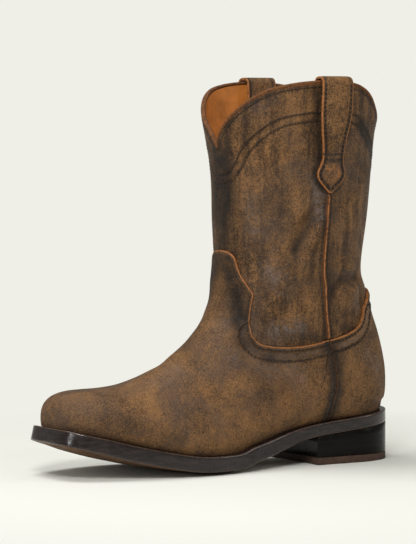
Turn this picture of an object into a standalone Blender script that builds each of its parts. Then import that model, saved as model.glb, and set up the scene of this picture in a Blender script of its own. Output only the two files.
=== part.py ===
"""A left roper boot in leather, standing on its sole.

Hollow upper with its vamp and counter, side seam strips, top piping, pull straps, insole, welt, outsole,
stacked heel and top lift. Metres, +Z up, toe towards -Y and the outer side of the foot towards +X. The
origin is the middle of the heel's bottom face.
"""

import math

import bmesh
import bpy
import numpy as np

# Sizes of the last, the form that the boot is built on. ANKLE_MIDDLE is a share of the foot's length
FOOT_LENGTH = 0.2752
BALL_WIDTH = 0.0920
HEEL_SEAT_WIDTH = 0.0560
INSTEP_HEIGHT = 0.1050
ANKLE_HEIGHT = 0.1650
ANKLE_LENGTH = 0.1195
ANKLE_MIDDLE = 0.2745
ANKLE_WIDTH = 0.0930
TOE_SPRING = 0.0230
TOE_BLUNTNESS = 5.0
HEEL_BLUNTNESS = 2.15

# Sizes of the shaft and its collar
SHAFT_HEIGHT = 0.2825
SHAFT_LENGTH = 0.1420
SHAFT_WIDTH = 0.1080
SHAFT_LEAN = 0.0015
FRONT_DIP = 0.0485
BACK_DIP = 0.0460

# Leather thicknesses and the clearance between pieces that touch
UPPER_WALL = 0.0028
OVERLAY_LEATHER = 0.0011
LAP_GAP = 0.0011
SEAM_STRIP_HEIGHT = 0.0012
SEAM_STRIP_WIDTH = 0.0034
PIPING_HEIGHT = 0.0024
PIPING_WIDTH = 0.0036
GAP = 0.0003
SEAM_GAP = 0.00045

# Sizes of the sole and heel
WELT_THICKNESS = 0.0035
WELT_REACH_TOE = 0.0042
WELT_REACH_BALL = 0.0056
WELT_REACH_HEEL = 0.0042
OUTSOLE_THICKNESS = 0.0075
OUTSOLE_EDGE = 0.0010
OUTSOLE_CROWN = 0.0026
INSOLE_THICKNESS = 0.0042
INSOLE_INSET = 0.0020
HEEL_HEIGHT = 0.0285
HEEL_LENGTH = 0.0789
HEEL_HOLLOW = 0.0025
TOP_LIFT_THICKNESS = 0.0055

# Sizes of the pull straps
STRAP_WIDTH = 0.0262
STRAP_THICKNESS = 0.0024
STRAP_DROP = 0.0800
STRAP_INNER_DROP = 0.0620
STRAP_STANDOFF = 0.0026
SEAT_CLEARANCE = 0.0003

# How finely the curved pieces are faceted
AROUND = 26
GATHER = 0.5
SEAT_STEPS = 8
FEATHER_STEPS = 9
TRUNK_STEPS = 18
SEAM_STEPS = 7
EDGE_STEPS = 6
TONGUE_STEPS = 4
TONGUE_COLUMNS = 4
VAMP_STEPS = 12
COUNTER_COLUMNS = 14
COUNTER_STEPS = 12
MEETING_POINTS = 30
MASTER_STEPS = 16
MASTER_AROUND = 240
SOLE_STATIONS = 30
TOE_STEPS = 4
TOE_CLOSING = (0.6, 0.3, 0.12, 0.03, 0.0)
RIM_STEPS = (0.0, 0.3, 0.65)
SEAT_ROWS = 3
SECTION_POINTS = 161
PIPING_SIDES = 8
CUTTER_SIDES = 256
FINE = 300

# Bottom edge of the last from heel to toe. along: share of the foot's length. heel: share of half the heel
# seat's width. lateral, medial: shares of the ball's width, added to it
OUTLINE_COLUMNS = ("along", "heel", "lateral", "medial")
OUTLINE = (
    (0.000, 1.00, 0.000, 0.000),
    (0.110, 1.00, 0.000, 0.000),
    (0.250, 0.90, 0.032, 0.006),
    (0.375, 0.30, 0.238, 0.145),
    (0.490, 0.00, 0.412, 0.290),
    (0.600, 0.00, 0.490, 0.395),
    (0.690, 0.00, 0.500, 0.468),
    (0.775, 0.00, 0.466, 0.480),
    (0.850, 0.00, 0.414, 0.436),
    (0.920, 0.00, 0.350, 0.365),
    (1.000, 0.00, 0.268, 0.275),
)
HEEL_END = 0.145
TOE_END = 0.850
# Where the sole's reach past the last changes from its heel value to its ball and toe values
REACH_STATIONS = (0.0, 0.22, 0.55, 0.85, 1.0)

# How far the sole is lifted off the floor. heel: share of the heel's height. toe: share of the toe
# spring. crown: share of the rounding that lifts the sole's edges above its middle. welt: share of the
# welt's thickness
RISE_COLUMNS = ("along", "heel", "toe", "crown", "welt")
RISE = (
    (-0.020, 1.015, 0.00, 0.0, 0.50),
    (0.050, 0.940, 0.00, 0.0, 0.50),
    (0.150, 0.845, 0.00, 0.0, 0.50),
    (0.250, 0.752, 0.00, 0.0, 0.50),
    (0.310, 0.660, 0.00, 0.05, 0.55),
    (0.370, 0.490, 0.00, 0.30, 0.70),
    (0.430, 0.290, 0.00, 0.70, 0.90),
    (0.490, 0.130, 0.00, 1.0, 1.0),
    (0.530, 0.020, 0.00, 1.0, 1.0),
    (0.548, 0.000, 0.00, 1.0, 1.0),
    (0.575, 0.000, 0.00, 1.0, 1.0),
    (0.625, 0.000, 0.00, 1.0, 1.0),
    (0.665, 0.000, 0.035, 1.0, 1.0),
    (0.740, 0.000, 0.180, 1.0, 1.0),
    (0.830, 0.000, 0.410, 1.0, 1.0),
    (0.920, 0.000, 0.700, 1.0, 0.95),
    (1.000, 0.000, 0.960, 0.9, 0.85),
    (1.040, 0.000, 1.090, 0.8, 0.85),
)
# Sole's rounded underside. across: share of half its width, fall: share of the crown risen there
BELLY = ((0.72, 0.62), (0.42, 0.12), (0.25, 0.0))
BREAST_ALONG = 0.27
LEAN_RUN = 0.10

# Height over which the upper's wall turns upright where it meets the welt
FLARE = 0.009

# Sections of the shaft, from the collar down to the ankle. rise: share of the way from ankle to collar.
# front and back: reach from the ankle's middle, side: half width, as shares of the shaft's size less the
# ankle's
SHAFT_COLUMNS = ("rise", "front", "back", "side", "round")
SHAFT = (
    (1.06, 0.40, 0.35, 1.00, 2.15),
    (0.82, 0.41, 0.40, 0.86, 2.15),
    (0.68, 0.28, 0.30, 0.68, 2.15),
    (0.52, 0.10, 0.22, 0.50, 2.15),
    (0.34, 0.02, 0.15, 0.32, 2.15),
    (0.15, 0.00, 0.07, 0.12, 2.15),
)

# Sections of the ankle and foot. ridge: front or top point, back: back or bottom point, along as shares
# of the foot's length and up as shares of the instep's height. lateral, medial: greatest half width as a
# share of the ball's width. widest: where that is, as a share from back to ridge. over, under: squareness
# above and below
FOOT_COLUMNS = (
    "ridge_along",
    "ridge_up",
    "back_along",
    "back_up",
    "lateral",
    "medial",
    "widest",
    "over",
    "under",
)
FOOT = (
    (0.4850, 1.430, 0.069, 1.390, 0.495, 0.490, 0.50, 2.15, 2.15),
    (0.4926, 1.288, 0.050, 1.240, 0.472, 0.466, 0.50, 2.12, 2.15),
    (0.5025, 1.159, 0.036, 1.078, 0.450, 0.442, 0.50, 2.10, 2.15),
    (0.5211, 1.057, 0.012, 0.925, 0.430, 0.420, 0.49, 2.10, 2.15),
    (0.5428, 0.983, -0.005, 0.795, 0.414, 0.400, 0.48, 2.08, 2.15),
    (0.5652, 0.925, -0.016, 0.668, 0.402, 0.385, 0.47, 2.06, 2.20),
    (0.5856, 0.876, -0.019, 0.550, 0.394, 0.374, 0.46, 2.05, 2.25),
    (0.6049, 0.837, -0.014, 0.450, 0.390, 0.366, 0.45, 2.05, 2.35),
    (0.6230, 0.803, 0.000, 0.380, 0.388, 0.360, 0.45, 2.05, 2.40),
    (0.6411, 0.770, 0.030, 0.000, 0.388, 0.355, 0.45, 2.05, 2.40),
    (0.6605, 0.736, 0.105, 0.000, 0.392, 0.352, 0.44, 2.05, 2.30),
    (0.6849, 0.702, 0.225, 0.000, 0.405, 0.352, 0.42, 2.08, 2.20),
    (0.7153, 0.665, 0.365, 0.000, 0.440, 0.362, 0.38, 2.10, 2.10),
    (0.7518, 0.629, 0.500, 0.000, 0.495, 0.412, 0.33, 2.14, 2.05),
    (0.7945, 0.595, 0.625, 0.000, 0.532, 0.470, 0.30, 2.20, 2.00),
    (0.8413, 0.577, 0.735, 0.000, 0.520, 0.510, 0.29, 2.30, 2.00),
    (0.8827, 0.572, 0.825, 0.000, 0.465, 0.484, 0.30, 2.40, 2.00),
    (0.9099, 0.570, 0.885, 0.000, 0.410, 0.425, 0.31, 2.50, 2.00),
    (0.9420, 0.570, 0.935, 0.000, 0.366, 0.380, 0.32, 2.60, 2.00),
    (1.0000, 0.570, 1.000, 0.000, 0.300, 0.310, 0.34, 2.70, 2.00),
)
HEEL_ROW = len(SHAFT) + 8
TOE_ROW = len(SHAFT) + 16
LAST_ROW = len(SHAFT) + len(FOOT) - 1
TOE_BOX_ROUND = 4.2
TOE_BOX_START = 0.850
TOE_BOX_BULGE = 0.10

# The collar's edge, from the back round the outer side to the front: around as a share of the way round,
# drop as a share of the back's dip before the middle and of the front's dip after it
RIM_COLUMNS = ("around", "drop")
RIM = (
    (0.000, 1.00),
    (0.020, 0.92),
    (0.050, 0.74),
    (0.080, 0.55),
    (0.109, 0.37),
    (0.128, 0.23),
    (0.165, 0.07),
    (0.210, 0.00),
    (0.290, 0.00),
    (0.330, 0.04),
    (0.368, 0.11),
    (0.406, 0.26),
    (0.433, 0.42),
    (0.471, 0.69),
    (0.490, 0.86),
    (0.500, 1.00),
)
RIM_MIDDLE = 0.250
RIM_ROW = 3
ANKLE_ROW = 5

# Top edge of the vamp on the outer side, from the side seam to the tongue's tip. around: share of the way
# round the section, row: section number counted from the collar
VAMP_COLUMNS = ("around", "row")
VAMP_EDGE = (
    (0.226, 9.87),
    (0.276, 10.46),
    (0.312, 10.79),
    (0.348, 10.96),
    (0.376, 10.82),
    (0.395, 10.18),
    (0.407, 9.20),
    (0.410, 8.15),
    (0.407, 7.40),
    (0.427, 6.81),
    (0.447, 6.09),
    (0.456, 5.80),
    (0.471, 5.70),
    (0.500, 5.66),
)
VAMP_CORNER = 5
TONGUE_CORNER = 8

# Top edge of the counter, from the side seam to the middle of the back
COUNTER_EDGE = (
    (0.226, 9.87),
    (0.185, 9.40),
    (0.145, 8.82),
    (0.120, 8.18),
    (0.090, 7.48),
    (0.060, 7.18),
    (0.030, 7.06),
    (0.000, 7.02),
)

# Line where vamp and counter meet, in the side view from the vamp's edge down to the welt. along: share
# of the foot's length, up: share of the instep's height
MEETING_COLUMNS = ("along", "up")
MEETING = (
    (0.240, 0.888),
    (0.226, 0.820),
    (0.216, 0.740),
    (0.208, 0.650),
    (0.205, 0.570),
    (0.210, 0.490),
    (0.217, 0.415),
    (0.222, 0.340),
)
SEAM_AROUND = 0.245
# The seam strip's profile as shares of its height, and how far its end stops short of the vamp, in sections
SEAM_PROFILE = (0.6, 1.0, 0.6)
SEAM_END = 0.06
SEAM_STATIONS = 12

# Pull strap's width from its top to its outer tip, down as a share of the drop and wide as a share of its
# width
STRAP_COLUMNS = ("down", "wide")
STRAP_SHAPE = (
    (0.00, 1.00),
    (0.30, 0.98),
    (0.45, 0.87),
    (0.60, 0.75),
    (0.70, 0.74),
    (0.76, 0.86),
    (0.80, 0.98),
    (0.86, 0.96),
    (1.00, 0.12),
)
STRAP_TOP_AROUND = 0.238
STRAP_COLUMNS_ACROSS = 5
# How far the strap stands off the shaft. down: share of the outer or inner drop, off: share of the full
# standoff
STANDOFF_COLUMNS = ("down", "off")
STANDOFF_OUTER = ((0.0, 1.0), (0.30, 1.0), (0.62, 0.45), (0.80, 0.0), (1.0, 0.0))
STANDOFF_INNER = ((0.0, 1.0), (0.40, 0.9), (0.80, 0.1), (1.0, 0.0))
# Where the strap's stations lie on each side, as shares of that side's drop, and its fold over the
# collar: along and up as shares of the fold's radius, measured from the fold's outer top corner
STRAP_DOWN_OUTER = (1.0, 0.93, 0.86, 0.80, 0.74, 0.62, 0.48, 0.34, 0.20, 0.08)
STRAP_DOWN_INNER = (0.16, 0.36, 0.56, 0.76, 0.90, 1.0)
STRAP_FOLD = ((0.0, 1.6), (0.35, 0.5), (1.2, 0.0))
STRAP_FOLD_RADIUS = 0.0028


def column(table, names, name):
    """One named column of a table."""
    return np.array([row[names.index(name)] for row in table], float)


def smooth(known, values, at):
    """A smooth curve through known points, read at any places: cubic pieces with the neighbours' slopes."""
    known = np.asarray(known, float)
    values = np.asarray(values, float)
    at = np.clip(np.asarray(at, float), known[0], known[-1])
    steps = np.diff(known)
    chords = np.diff(values) / steps
    slopes = np.empty_like(values)
    slopes[0], slopes[-1] = chords[0], chords[-1]
    slopes[1:-1] = (chords[:-1] * steps[1:] + chords[1:] * steps[:-1]) / (steps[1:] + steps[:-1])
    i = np.clip(np.searchsorted(known, at, side="right") - 1, 0, len(known) - 2)
    h = steps[i]
    t = (at - known[i]) / h
    return (
        (2 * t**3 - 3 * t**2 + 1) * values[i]
        + (t**3 - 2 * t**2 + t) * h * slopes[i]
        + (3 * t**2 - 2 * t**3) * values[i + 1]
        + (t**3 - t**2) * h * slopes[i + 1]
    )


def run_along(points):
    """Distance along a line of points to each of them."""
    return np.concatenate([[0], np.cumsum(np.linalg.norm(np.diff(points, axis=0), axis=1))])


def overlay():
    """How far the vamp's and the counter's outer faces stand off the upper."""
    return LAP_GAP + OVERLAY_LEATHER


def seat_back():
    """Y of the last's heel point, which the heel's overhang and the counter set back from the heel's
    face."""
    return HEEL_LENGTH / 2 - WELT_REACH_HEEL - overlay()


def y_at(along):
    return seat_back() - np.asarray(along) * FOOT_LENGTH


def along_at(y):
    return (seat_back() - np.asarray(y)) / FOOT_LENGTH


def rise_at(y):
    """How far the sole is lifted off the floor at y, by the heel or by the toe spring."""
    along = along_at(y)
    known = column(RISE, RISE_COLUMNS, "along")
    heel = smooth(known, column(RISE, RISE_COLUMNS, "heel"), along)
    toe = smooth(known, column(RISE, RISE_COLUMNS, "toe"), along)
    return np.maximum(heel, 0) * HEEL_HEIGHT + np.maximum(toe, 0) * TOE_SPRING


def crown_at(y):
    """How much higher the sole's edges are than its middle at y."""
    known = column(RISE, RISE_COLUMNS, "along")
    return OUTSOLE_CROWN * np.clip(smooth(known, column(RISE, RISE_COLUMNS, "crown"), along_at(y)), 0, 1)


def edge_rise(y):
    return rise_at(y) + crown_at(y)


def lean_at(y):
    """How far the sole's edge leans along y for each metre up: square to the sole's slope in front of the
    heel."""
    step = 0.002
    slope = (edge_rise(np.asarray(y) + step) - edge_rise(np.asarray(y) - step)) / (2 * step)
    free = np.clip((along_at(y) - BREAST_ALONG) / LEAN_RUN, 0, 1)
    return -slope * free


def outsole_top(y):
    return edge_rise(y) + OUTSOLE_THICKNESS


def welt_top(y):
    known = column(RISE, RISE_COLUMNS, "along")
    share = smooth(known, column(RISE, RISE_COLUMNS, "welt"), along_at(y))
    return outsole_top(y) + GAP + share * WELT_THICKNESS


def end_factor(along):
    """How the outline closes at its rounded heel and at its blunt toe."""
    heel = np.clip((HEEL_END - along) / HEEL_END, 0, 1)
    toe = np.clip((along - TOE_END) / (1 - TOE_END), 0, 1)
    rounded = (1 - heel**HEEL_BLUNTNESS) ** (1 / HEEL_BLUNTNESS)
    return rounded * (1 - toe**TOE_BLUNTNESS) ** (1 / TOE_BLUNTNESS)


def half_widths(along, extra=0.0):
    """(lateral, medial) half widths of the last's bottom edge, made wider by extra."""
    along = np.clip(along, 0, 1)
    known = column(OUTLINE, OUTLINE_COLUMNS, "along")
    heel = smooth(known, column(OUTLINE, OUTLINE_COLUMNS, "heel"), along) * HEEL_SEAT_WIDTH / 2
    sides = []
    for side in ("lateral", "medial"):
        ball = smooth(known, column(OUTLINE, OUTLINE_COLUMNS, side), along) * BALL_WIDTH
        sides.append((heel + ball + extra) * end_factor(along))
    return sides


def plan(grow_heel, grow_ball, grow_toe, count):
    """The last's bottom outline made larger: rows of y, lateral x and medial x, from heel to toe."""
    share = 0.5 - 0.5 * np.cos(np.pi * np.arange(count + 1) / count)
    y = seat_back() + grow_heel - share * (FOOT_LENGTH + grow_heel + grow_toe)
    grow = smooth(REACH_STATIONS, (grow_heel, grow_heel, grow_ball, grow_toe, grow_toe), share)
    lateral, medial = half_widths(share, grow)
    return np.stack([y, lateral, -medial], axis=1)


def section_rows():
    """Every section's sizes, collar first: ridge and back points, half widths, widest share and
    squareness."""
    rows = []
    middle = y_at(ANKLE_MIDDLE)
    for rise, front, back, side, squareness in SHAFT:
        z = ANKLE_HEIGHT + rise * (SHAFT_HEIGHT - ANKLE_HEIGHT)
        longer = SHAFT_LENGTH - ANKLE_LENGTH
        half = ANKLE_WIDTH / 2 + side * (SHAFT_WIDTH - ANKLE_WIDTH) / 2
        y_front = middle - ANKLE_LENGTH / 2 - front * longer + rise * SHAFT_LEAN
        y_back = middle + ANKLE_LENGTH / 2 + back * longer + rise * SHAFT_LEAN
        rows.append((y_front, z, y_back, z, half, half, 0.5, squareness, squareness))
    for row in FOOT:
        size = dict(zip(FOOT_COLUMNS, row))
        rows.append((
            float(y_at(size["ridge_along"])),
            size["ridge_up"] * INSTEP_HEIGHT,
            float(y_at(size["back_along"])),
            size["back_up"] * INSTEP_HEIGHT,
            size["lateral"] * BALL_WIDTH,
            size["medial"] * BALL_WIDTH,
            size["widest"],
            size["over"],
            size["under"],
        ))
    return np.array(rows)


ROWS = section_rows()
ROW_NUMBERS = np.arange(len(ROWS), dtype=float)
ANGLES = np.linspace(0, 1, SECTION_POINTS)


def section_sizes(row):
    """A section between the table's rows. From the heel row on its back point lies on the welt."""
    sizes = [float(smooth(ROW_NUMBERS, ROWS[:, k], row)) for k in range(ROWS.shape[1])]
    if row >= HEEL_ROW:
        sizes[2] = min(sizes[2], seat_back())
        sizes[3] = float(welt_top(sizes[2])) + GAP
    return sizes


def half_section(row, side):
    """Points of one side of a section, from its back or bottom up to the ridge."""
    ridge_y, ridge_z, back_y, back_z, lateral, medial, widest, over, under = section_sizes(row)
    widest_half = (lateral, medial)[side]
    edge = float(half_widths(along_at(back_y))[side]) if row > HEEL_ROW else 0.0
    if row > TOE_ROW:
        share = (float(along_at(back_y)) - TOE_BOX_START) / (1 - TOE_BOX_START)
        close = (1 - min(max(share, 0.0), 1.0) ** TOE_BOX_ROUND) ** (1 / TOE_BOX_ROUND)
        widest_half = max(edge * (1 + TOE_BOX_BULGE * close), 1e-5)
        ridge_z = back_z + (ridge_z - back_z) * close
        ridge_y = back_y + (ridge_y - back_y) * close
    widest_half = max(widest_half, edge * 1.001, 1e-5)
    cut = -math.acos(min(1.0, (edge / widest_half) ** (under / 2)))
    angle = cut + (math.pi / 2 - cut) * ANGLES
    turned = np.abs(np.sin(angle))
    above = angle >= 0
    deepest = abs(math.sin(cut)) if cut < 0 else 1.0
    height = np.where(
        above,
        widest + (1 - widest) * turned ** (2 / over),
        widest - widest * (turned / deepest) ** (2 / under),
    )
    power = np.where(above, 2 / over, 2 / under)
    width = widest_half * np.maximum(np.cos(angle), 0) ** power
    sign = 1 if side == 0 else -1
    return np.stack(
        [sign * width, back_y + (ridge_y - back_y) * height, back_z + (ridge_z - back_z) * height], axis=1
    )


def section(row):
    """A whole section with evenly spaced points, from the back round the outer side and the ridge to the
    back."""
    points = np.concatenate([half_section(row, 0), half_section(row, 1)[::-1][1:]])
    run = run_along(points)
    ridge = run[len(ANGLES) - 1]
    lateral = 0.5 * run / max(ridge, 1e-9)
    medial = 0.5 + 0.5 * (run - ridge) / max(run[-1] - ridge, 1e-9)
    share = np.where(run <= ridge, lateral, medial)
    even = np.linspace(0, 1, MASTER_AROUND + 1)
    return np.stack([np.interp(even, share, points[:, k]) for k in range(3)], axis=1)


def master_grid():
    """The upper's outer face as a fine grid of points, with its outward normals."""
    numbers = np.linspace(0, LAST_ROW, LAST_ROW * MASTER_STEPS + 1)
    points = np.array([section(row) for row in numbers])
    down = np.gradient(points, axis=0)
    round_ = np.gradient(points, axis=1)
    closed = numbers <= HEEL_ROW
    wrap = points[closed, 1] - points[closed, -2]
    round_[closed, 0] = round_[closed, -1] = wrap / 2
    down[closed, 0] = down[closed, -1] = (down[closed, 0] + down[closed, -1]) / 2
    normals = np.cross(round_, down)
    lengths = np.linalg.norm(normals, axis=2, keepdims=True)
    normals = normals / np.maximum(lengths, 1e-12)
    normals[-1] = (0, -1, 0)
    return numbers, points, normals


NUMBERS, POINTS, NORMALS = master_grid()


def on_upper(rows, around, offset=0.0):
    """Points at section numbers and shares around, moved outwards by offset, and never under the welt's
    top."""
    rows, around = np.broadcast_arrays(np.asarray(rows, float), np.asarray(around, float))
    r = np.clip(rows, 0, LAST_ROW) * MASTER_STEPS
    a = np.clip(around, 0, 1) * MASTER_AROUND
    i = np.minimum(r.astype(int), len(NUMBERS) - 2)
    j = np.minimum(a.astype(int), MASTER_AROUND - 1)
    u, w = (r - i)[..., None], (a - j)[..., None]
    made = []
    for grid in (POINTS, NORMALS):
        upper = grid[i, j] * (1 - w) + grid[i, j + 1] * w
        lower = grid[i + 1, j] * (1 - w) + grid[i + 1, j + 1] * w
        made.append(upper * (1 - u) + lower * u)
    normal = made[1]
    lift = np.clip((made[0][..., 2] - welt_top(made[0][..., 1]) - GAP) / FLARE, 0, 1)
    normal[..., 2] = np.where(normal[..., 2] < 0, normal[..., 2] * lift, normal[..., 2])
    normal = normal / np.maximum(np.linalg.norm(normal, axis=-1, keepdims=True), 1e-9)
    point = made[0] + normal * np.asarray(offset, float)[..., None]
    point[..., 2] = np.maximum(point[..., 2], welt_top(point[..., 1]) + GAP)
    return point


def rim_height(around):
    """Height of the collar's edge, the same on both sides."""
    half = np.where(around > 0.5, 1 - around, around)
    drop = smooth(column(RIM, RIM_COLUMNS, "around"), column(RIM, RIM_COLUMNS, "drop"), half)
    return SHAFT_HEIGHT - drop * np.where(half < RIM_MIDDLE, BACK_DIP, FRONT_DIP)


def rim_row(around):
    """Section number where the collar's edge is."""
    heights = ROWS[: len(SHAFT) + 1, 1]
    fine = np.linspace(0, len(SHAFT), FINE)
    z = smooth(ROW_NUMBERS[: len(SHAFT) + 1], heights, fine)
    return np.interp(-rim_height(around), -z, fine)


def add_plate(bm, outer, inner, first_row=True, last_row=True, first_col=True, last_col=True):
    """Adds a plate between two grids of points, with edge faces on the sides of the grid that are asked
    for. A side is True, False or a list with one flag for each step along it."""
    rows, cols = outer.shape[:2]
    top = [[bm.verts.new(p) for p in row] for row in outer]
    low = [[bm.verts.new(p) for p in row] for row in inner]
    for i in range(rows - 1):
        for j in range(cols - 1):
            bm.faces.new((top[i][j], top[i + 1][j], top[i + 1][j + 1], top[i][j + 1]))
            bm.faces.new((low[i][j], low[i][j + 1], low[i + 1][j + 1], low[i + 1][j]))
    for row, wanted in ((0, first_row), (rows - 1, last_row)):
        for j in range(cols - 1):
            if wanted[j] if isinstance(wanted, list) else wanted:
                bm.faces.new((top[row][j], top[row][j + 1], low[row][j + 1], low[row][j]))
    for col, wanted in ((0, first_col), (cols - 1, last_col)):
        for i in range(rows - 1):
            if wanted[i] if isinstance(wanted, list) else wanted:
                bm.faces.new((top[i][col], top[i + 1][col], low[i + 1][col], low[i][col]))


def finish(bm, name, material, weld=1e-6):
    """Welds the mesh, turns its faces outwards and makes it an object."""
    bmesh.ops.remove_doubles(bm, verts=bm.verts, dist=weld)
    bmesh.ops.dissolve_degenerate(bm, edges=bm.edges, dist=weld)
    bmesh.ops.triangulate(bm, faces=[f for f in bm.faces if len(f.verts) > 4])
    bmesh.ops.recalc_face_normals(bm, faces=bm.faces)
    mesh = bpy.data.meshes.new(name)
    bm.to_mesh(mesh)
    bm.free()
    mesh.shade_smooth()
    mesh.set_sharp_from_angle(angle=math.radians(40))
    mesh.materials.append(material)
    made = bpy.data.objects.new(name, mesh)
    BOOT.objects.link(made)
    return made


def toe_rows():
    """Section numbers from where the toe starts to its front, closer together at the end."""
    return [*np.linspace(TOE_ROW, LAST_ROW - 1, TOE_STEPS), *(LAST_ROW - share for share in TOE_CLOSING)]


def columns_around():
    """Shares around a section, closer together at the back and at the ridge."""
    half = np.arange(AROUND // 2 + 1) / AROUND
    half = half * (1 - GATHER) + (0.25 - 0.25 * np.cos(2 * np.pi * half)) * GATHER
    return np.concatenate([half, 1 - half[-2::-1]])


def make_upper(material):
    """The hollow upper: shaft and foot in one wall, open at the collar and underneath."""
    around = columns_around()
    seat_end = HEEL_ROW + SEAT_ROWS
    seat = spaced([(0.0, row) for row in range(HEEL_ROW, seat_end + 1)], SEAT_STEPS)[:-1, 1]
    feather = spaced([(0.0, row) for row in range(seat_end, TOE_ROW + 1)], FEATHER_STEPS)[:-1, 1]
    trunk = spaced([(0.0, row) for row in range(RIM_ROW, HEEL_ROW + 1)], TRUNK_STEPS)[:-1, 1]
    rim = rim_row(around)
    rows = [rim + (RIM_ROW - rim) * share for share in RIM_STEPS]
    rows += [np.full(len(around), number) for number in (*trunk, *seat, *feather, *toe_rows())]
    rows = np.array(rows)
    opened = [bool(row >= HEEL_ROW) for row in rows[:-1, 0]]
    bm = bmesh.new()
    outer = on_upper(rows, around)
    inner = on_upper(rows, around, -UPPER_WALL)
    add_plate(bm, outer, inner, last_row=False, first_col=opened, last_col=opened)
    return finish(bm, "upper", material)


def spaced(table, count, corner=None):
    """Points (around, row) evenly along a line on the upper, with its corner kept where it has one."""
    table = np.array(table, float)
    run = run_along(on_upper(table[:, 1], table[:, 0]))
    ends = [0, len(table) - 1] if corner is None else [0, corner, len(table) - 1]
    made = []
    for first, last in zip(ends, ends[1:]):
        known = run[first : last + 1]
        fine = np.linspace(known[0], known[-1], 40 * (last - first))
        around = smooth(known, table[first : last + 1, 0], fine)
        row = smooth(known, table[first : last + 1, 1], fine)
        arc = run_along(on_upper(row, around))
        steps = max(1, round(count * (known[-1] - known[0]) / run[-1]))
        wanted = np.linspace(0, arc[-1], steps + 1)[1 if made else 0 :]
        made += list(zip(np.interp(wanted, arc, around), np.interp(wanted, arc, row)))
    return np.array(made)


def meeting_line(shift):
    """Points (around, row) down the line where vamp and counter meet, moved by shift towards the toe."""
    tried = np.linspace(ANKLE_ROW, TOE_ROW, 3 * FINE)
    row, around = np.meshgrid(tried, np.linspace(0, 0.5, 2 * FINE), indexing="ij")
    places = on_upper(row, around)
    line = [(VAMP_EDGE[0][0] + shift / SHAFT_LENGTH / 2, VAMP_EDGE[0][1])]
    known = np.arange(len(MEETING))
    fine = np.linspace(0, len(MEETING) - 1, MEETING_POINTS)
    alongs = smooth(known, column(MEETING, MEETING_COLUMNS, "along"), fine)
    ups = smooth(known, column(MEETING, MEETING_COLUMNS, "up"), fine)
    for along, up in list(zip(alongs, ups))[1:-1]:
        miss = (places[..., 1] - y_at(along) + shift) ** 2 + (places[..., 2] - up * INSTEP_HEIGHT) ** 2
        best = np.unravel_index(np.argmin(miss), miss.shape)
        line.append((around[best], row[best]))
    edge_y = ROWS[HEEL_ROW : TOE_ROW + 1, 2]
    end = np.interp(shift - float(y_at(alongs[-1])), -edge_y, np.arange(HEEL_ROW, TOE_ROW + 1))
    return np.array([point for point in line if point[1] < end or point[0] > 0.01] + [(0.0, end)])


def patch(top, bottom, front, back):
    """A grid (around, row) filled in between four lines that meet at their ends."""
    s = np.linspace(0, 1, len(top))[None, :, None]
    t = np.linspace(0, 1, len(front))[:, None, None]
    grid = (1 - t) * top[None] + t * bottom[None] + (1 - s) * front[:, None] + s * back[:, None]
    return grid - (1 - t) * ((1 - s) * top[0] + s * top[-1]) - t * ((1 - s) * bottom[0] + s * bottom[-1])


def mirrored(line):
    """A line (around, row) carried on over the ridge to the inner side."""
    return np.concatenate([line, line[::-1][1:] * (-1, 1) + (1, 0)])


def make_vamp(material):
    """The vamp: from its stitched top edge and the side seams forward to the toe, with its tongue."""
    line = meeting_line(SEAM_GAP)
    edge = np.array(VAMP_EDGE, float)
    edge[0] = line[0]
    seam = spaced(line[::-1], SEAM_STEPS)
    side = spaced(edge[: VAMP_CORNER + 1], EDGE_STEPS)
    tongue_side = spaced(edge[VAMP_CORNER : TONGUE_CORNER + 1], TONGUE_STEPS)
    tongue_top = mirrored(spaced(edge[TONGUE_CORNER:], TONGUE_COLUMNS))
    base = np.linspace(side[-1], (1 - side[-1][0], side[-1][1]), len(tongue_top))
    other = tongue_side * (-1, 1) + (1, 0)
    tongue = patch(tongue_top, base, tongue_side[::-1], other[::-1])
    lateral = np.concatenate([seam, side[1:]])
    start = np.concatenate([lateral, base[1:-1], (lateral * (-1, 1) + (1, 0))[::-1]])
    free = [True] * (len(lateral) - 1)
    even = np.linspace(0, 1, len(start))
    rows, around = [], []
    for step in np.linspace(0, 1, VAMP_STEPS + 1)[:-1]:
        rows.append(start[:, 1] + (TOE_ROW - start[:, 1]) * step)
        around.append(start[:, 0] + (even - start[:, 0]) * (3 * step**2 - 2 * step**3))
    for number in toe_rows():
        rows.append(np.full(len(start), number))
        around.append(even)
    first_row = free + [False] * (len(base) - 1) + free
    bm = bmesh.new()
    for row, at, sides in (
        (np.array(rows), np.array(around), (first_row, False, True, True)),
        (tongue[..., 1], tongue[..., 0], (True, False, True, True)),
    ):
        add_plate(bm, on_upper(row, at, overlay()), on_upper(row, at, LAP_GAP), *sides)
    return finish(bm, "vamp", material)


def make_counter(material):
    """The counter: round the heel from one side seam to the other, and up to its stitched top edge."""
    line = meeting_line(-SEAM_GAP)
    edge = np.array(COUNTER_EDGE, float)
    edge[0] = line[0]
    top = spaced(edge, COUNTER_COLUMNS)
    bottom = spaced([(0.0, row) for row in np.linspace(line[-1][1], HEEL_ROW, 40)], COUNTER_COLUMNS)
    front = spaced(line, COUNTER_STEPS)
    back = spaced([(0.0, row) for row in np.linspace(edge[-1][1], HEEL_ROW, 12)], COUNTER_STEPS)
    grid = patch(top, bottom, front, back)
    bm = bmesh.new()
    for around in (grid[..., 0], 1 - grid[..., 0]):
        row = grid[..., 1]
        add_plate(bm, on_upper(row, around, overlay()), on_upper(row, around, LAP_GAP), last_col=False)
    return finish(bm, "counter", material)


def new_material(name, colour, roughness, metallic=0.0):
    material = bpy.data.materials.new(name)
    material.use_nodes = True
    shader = material.node_tree.nodes["Principled BSDF"]
    shader.inputs["Base Color"].default_value = (*colour, 1)
    shader.inputs["Roughness"].default_value = roughness
    shader.inputs["Metallic"].default_value = metallic
    return material


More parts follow.
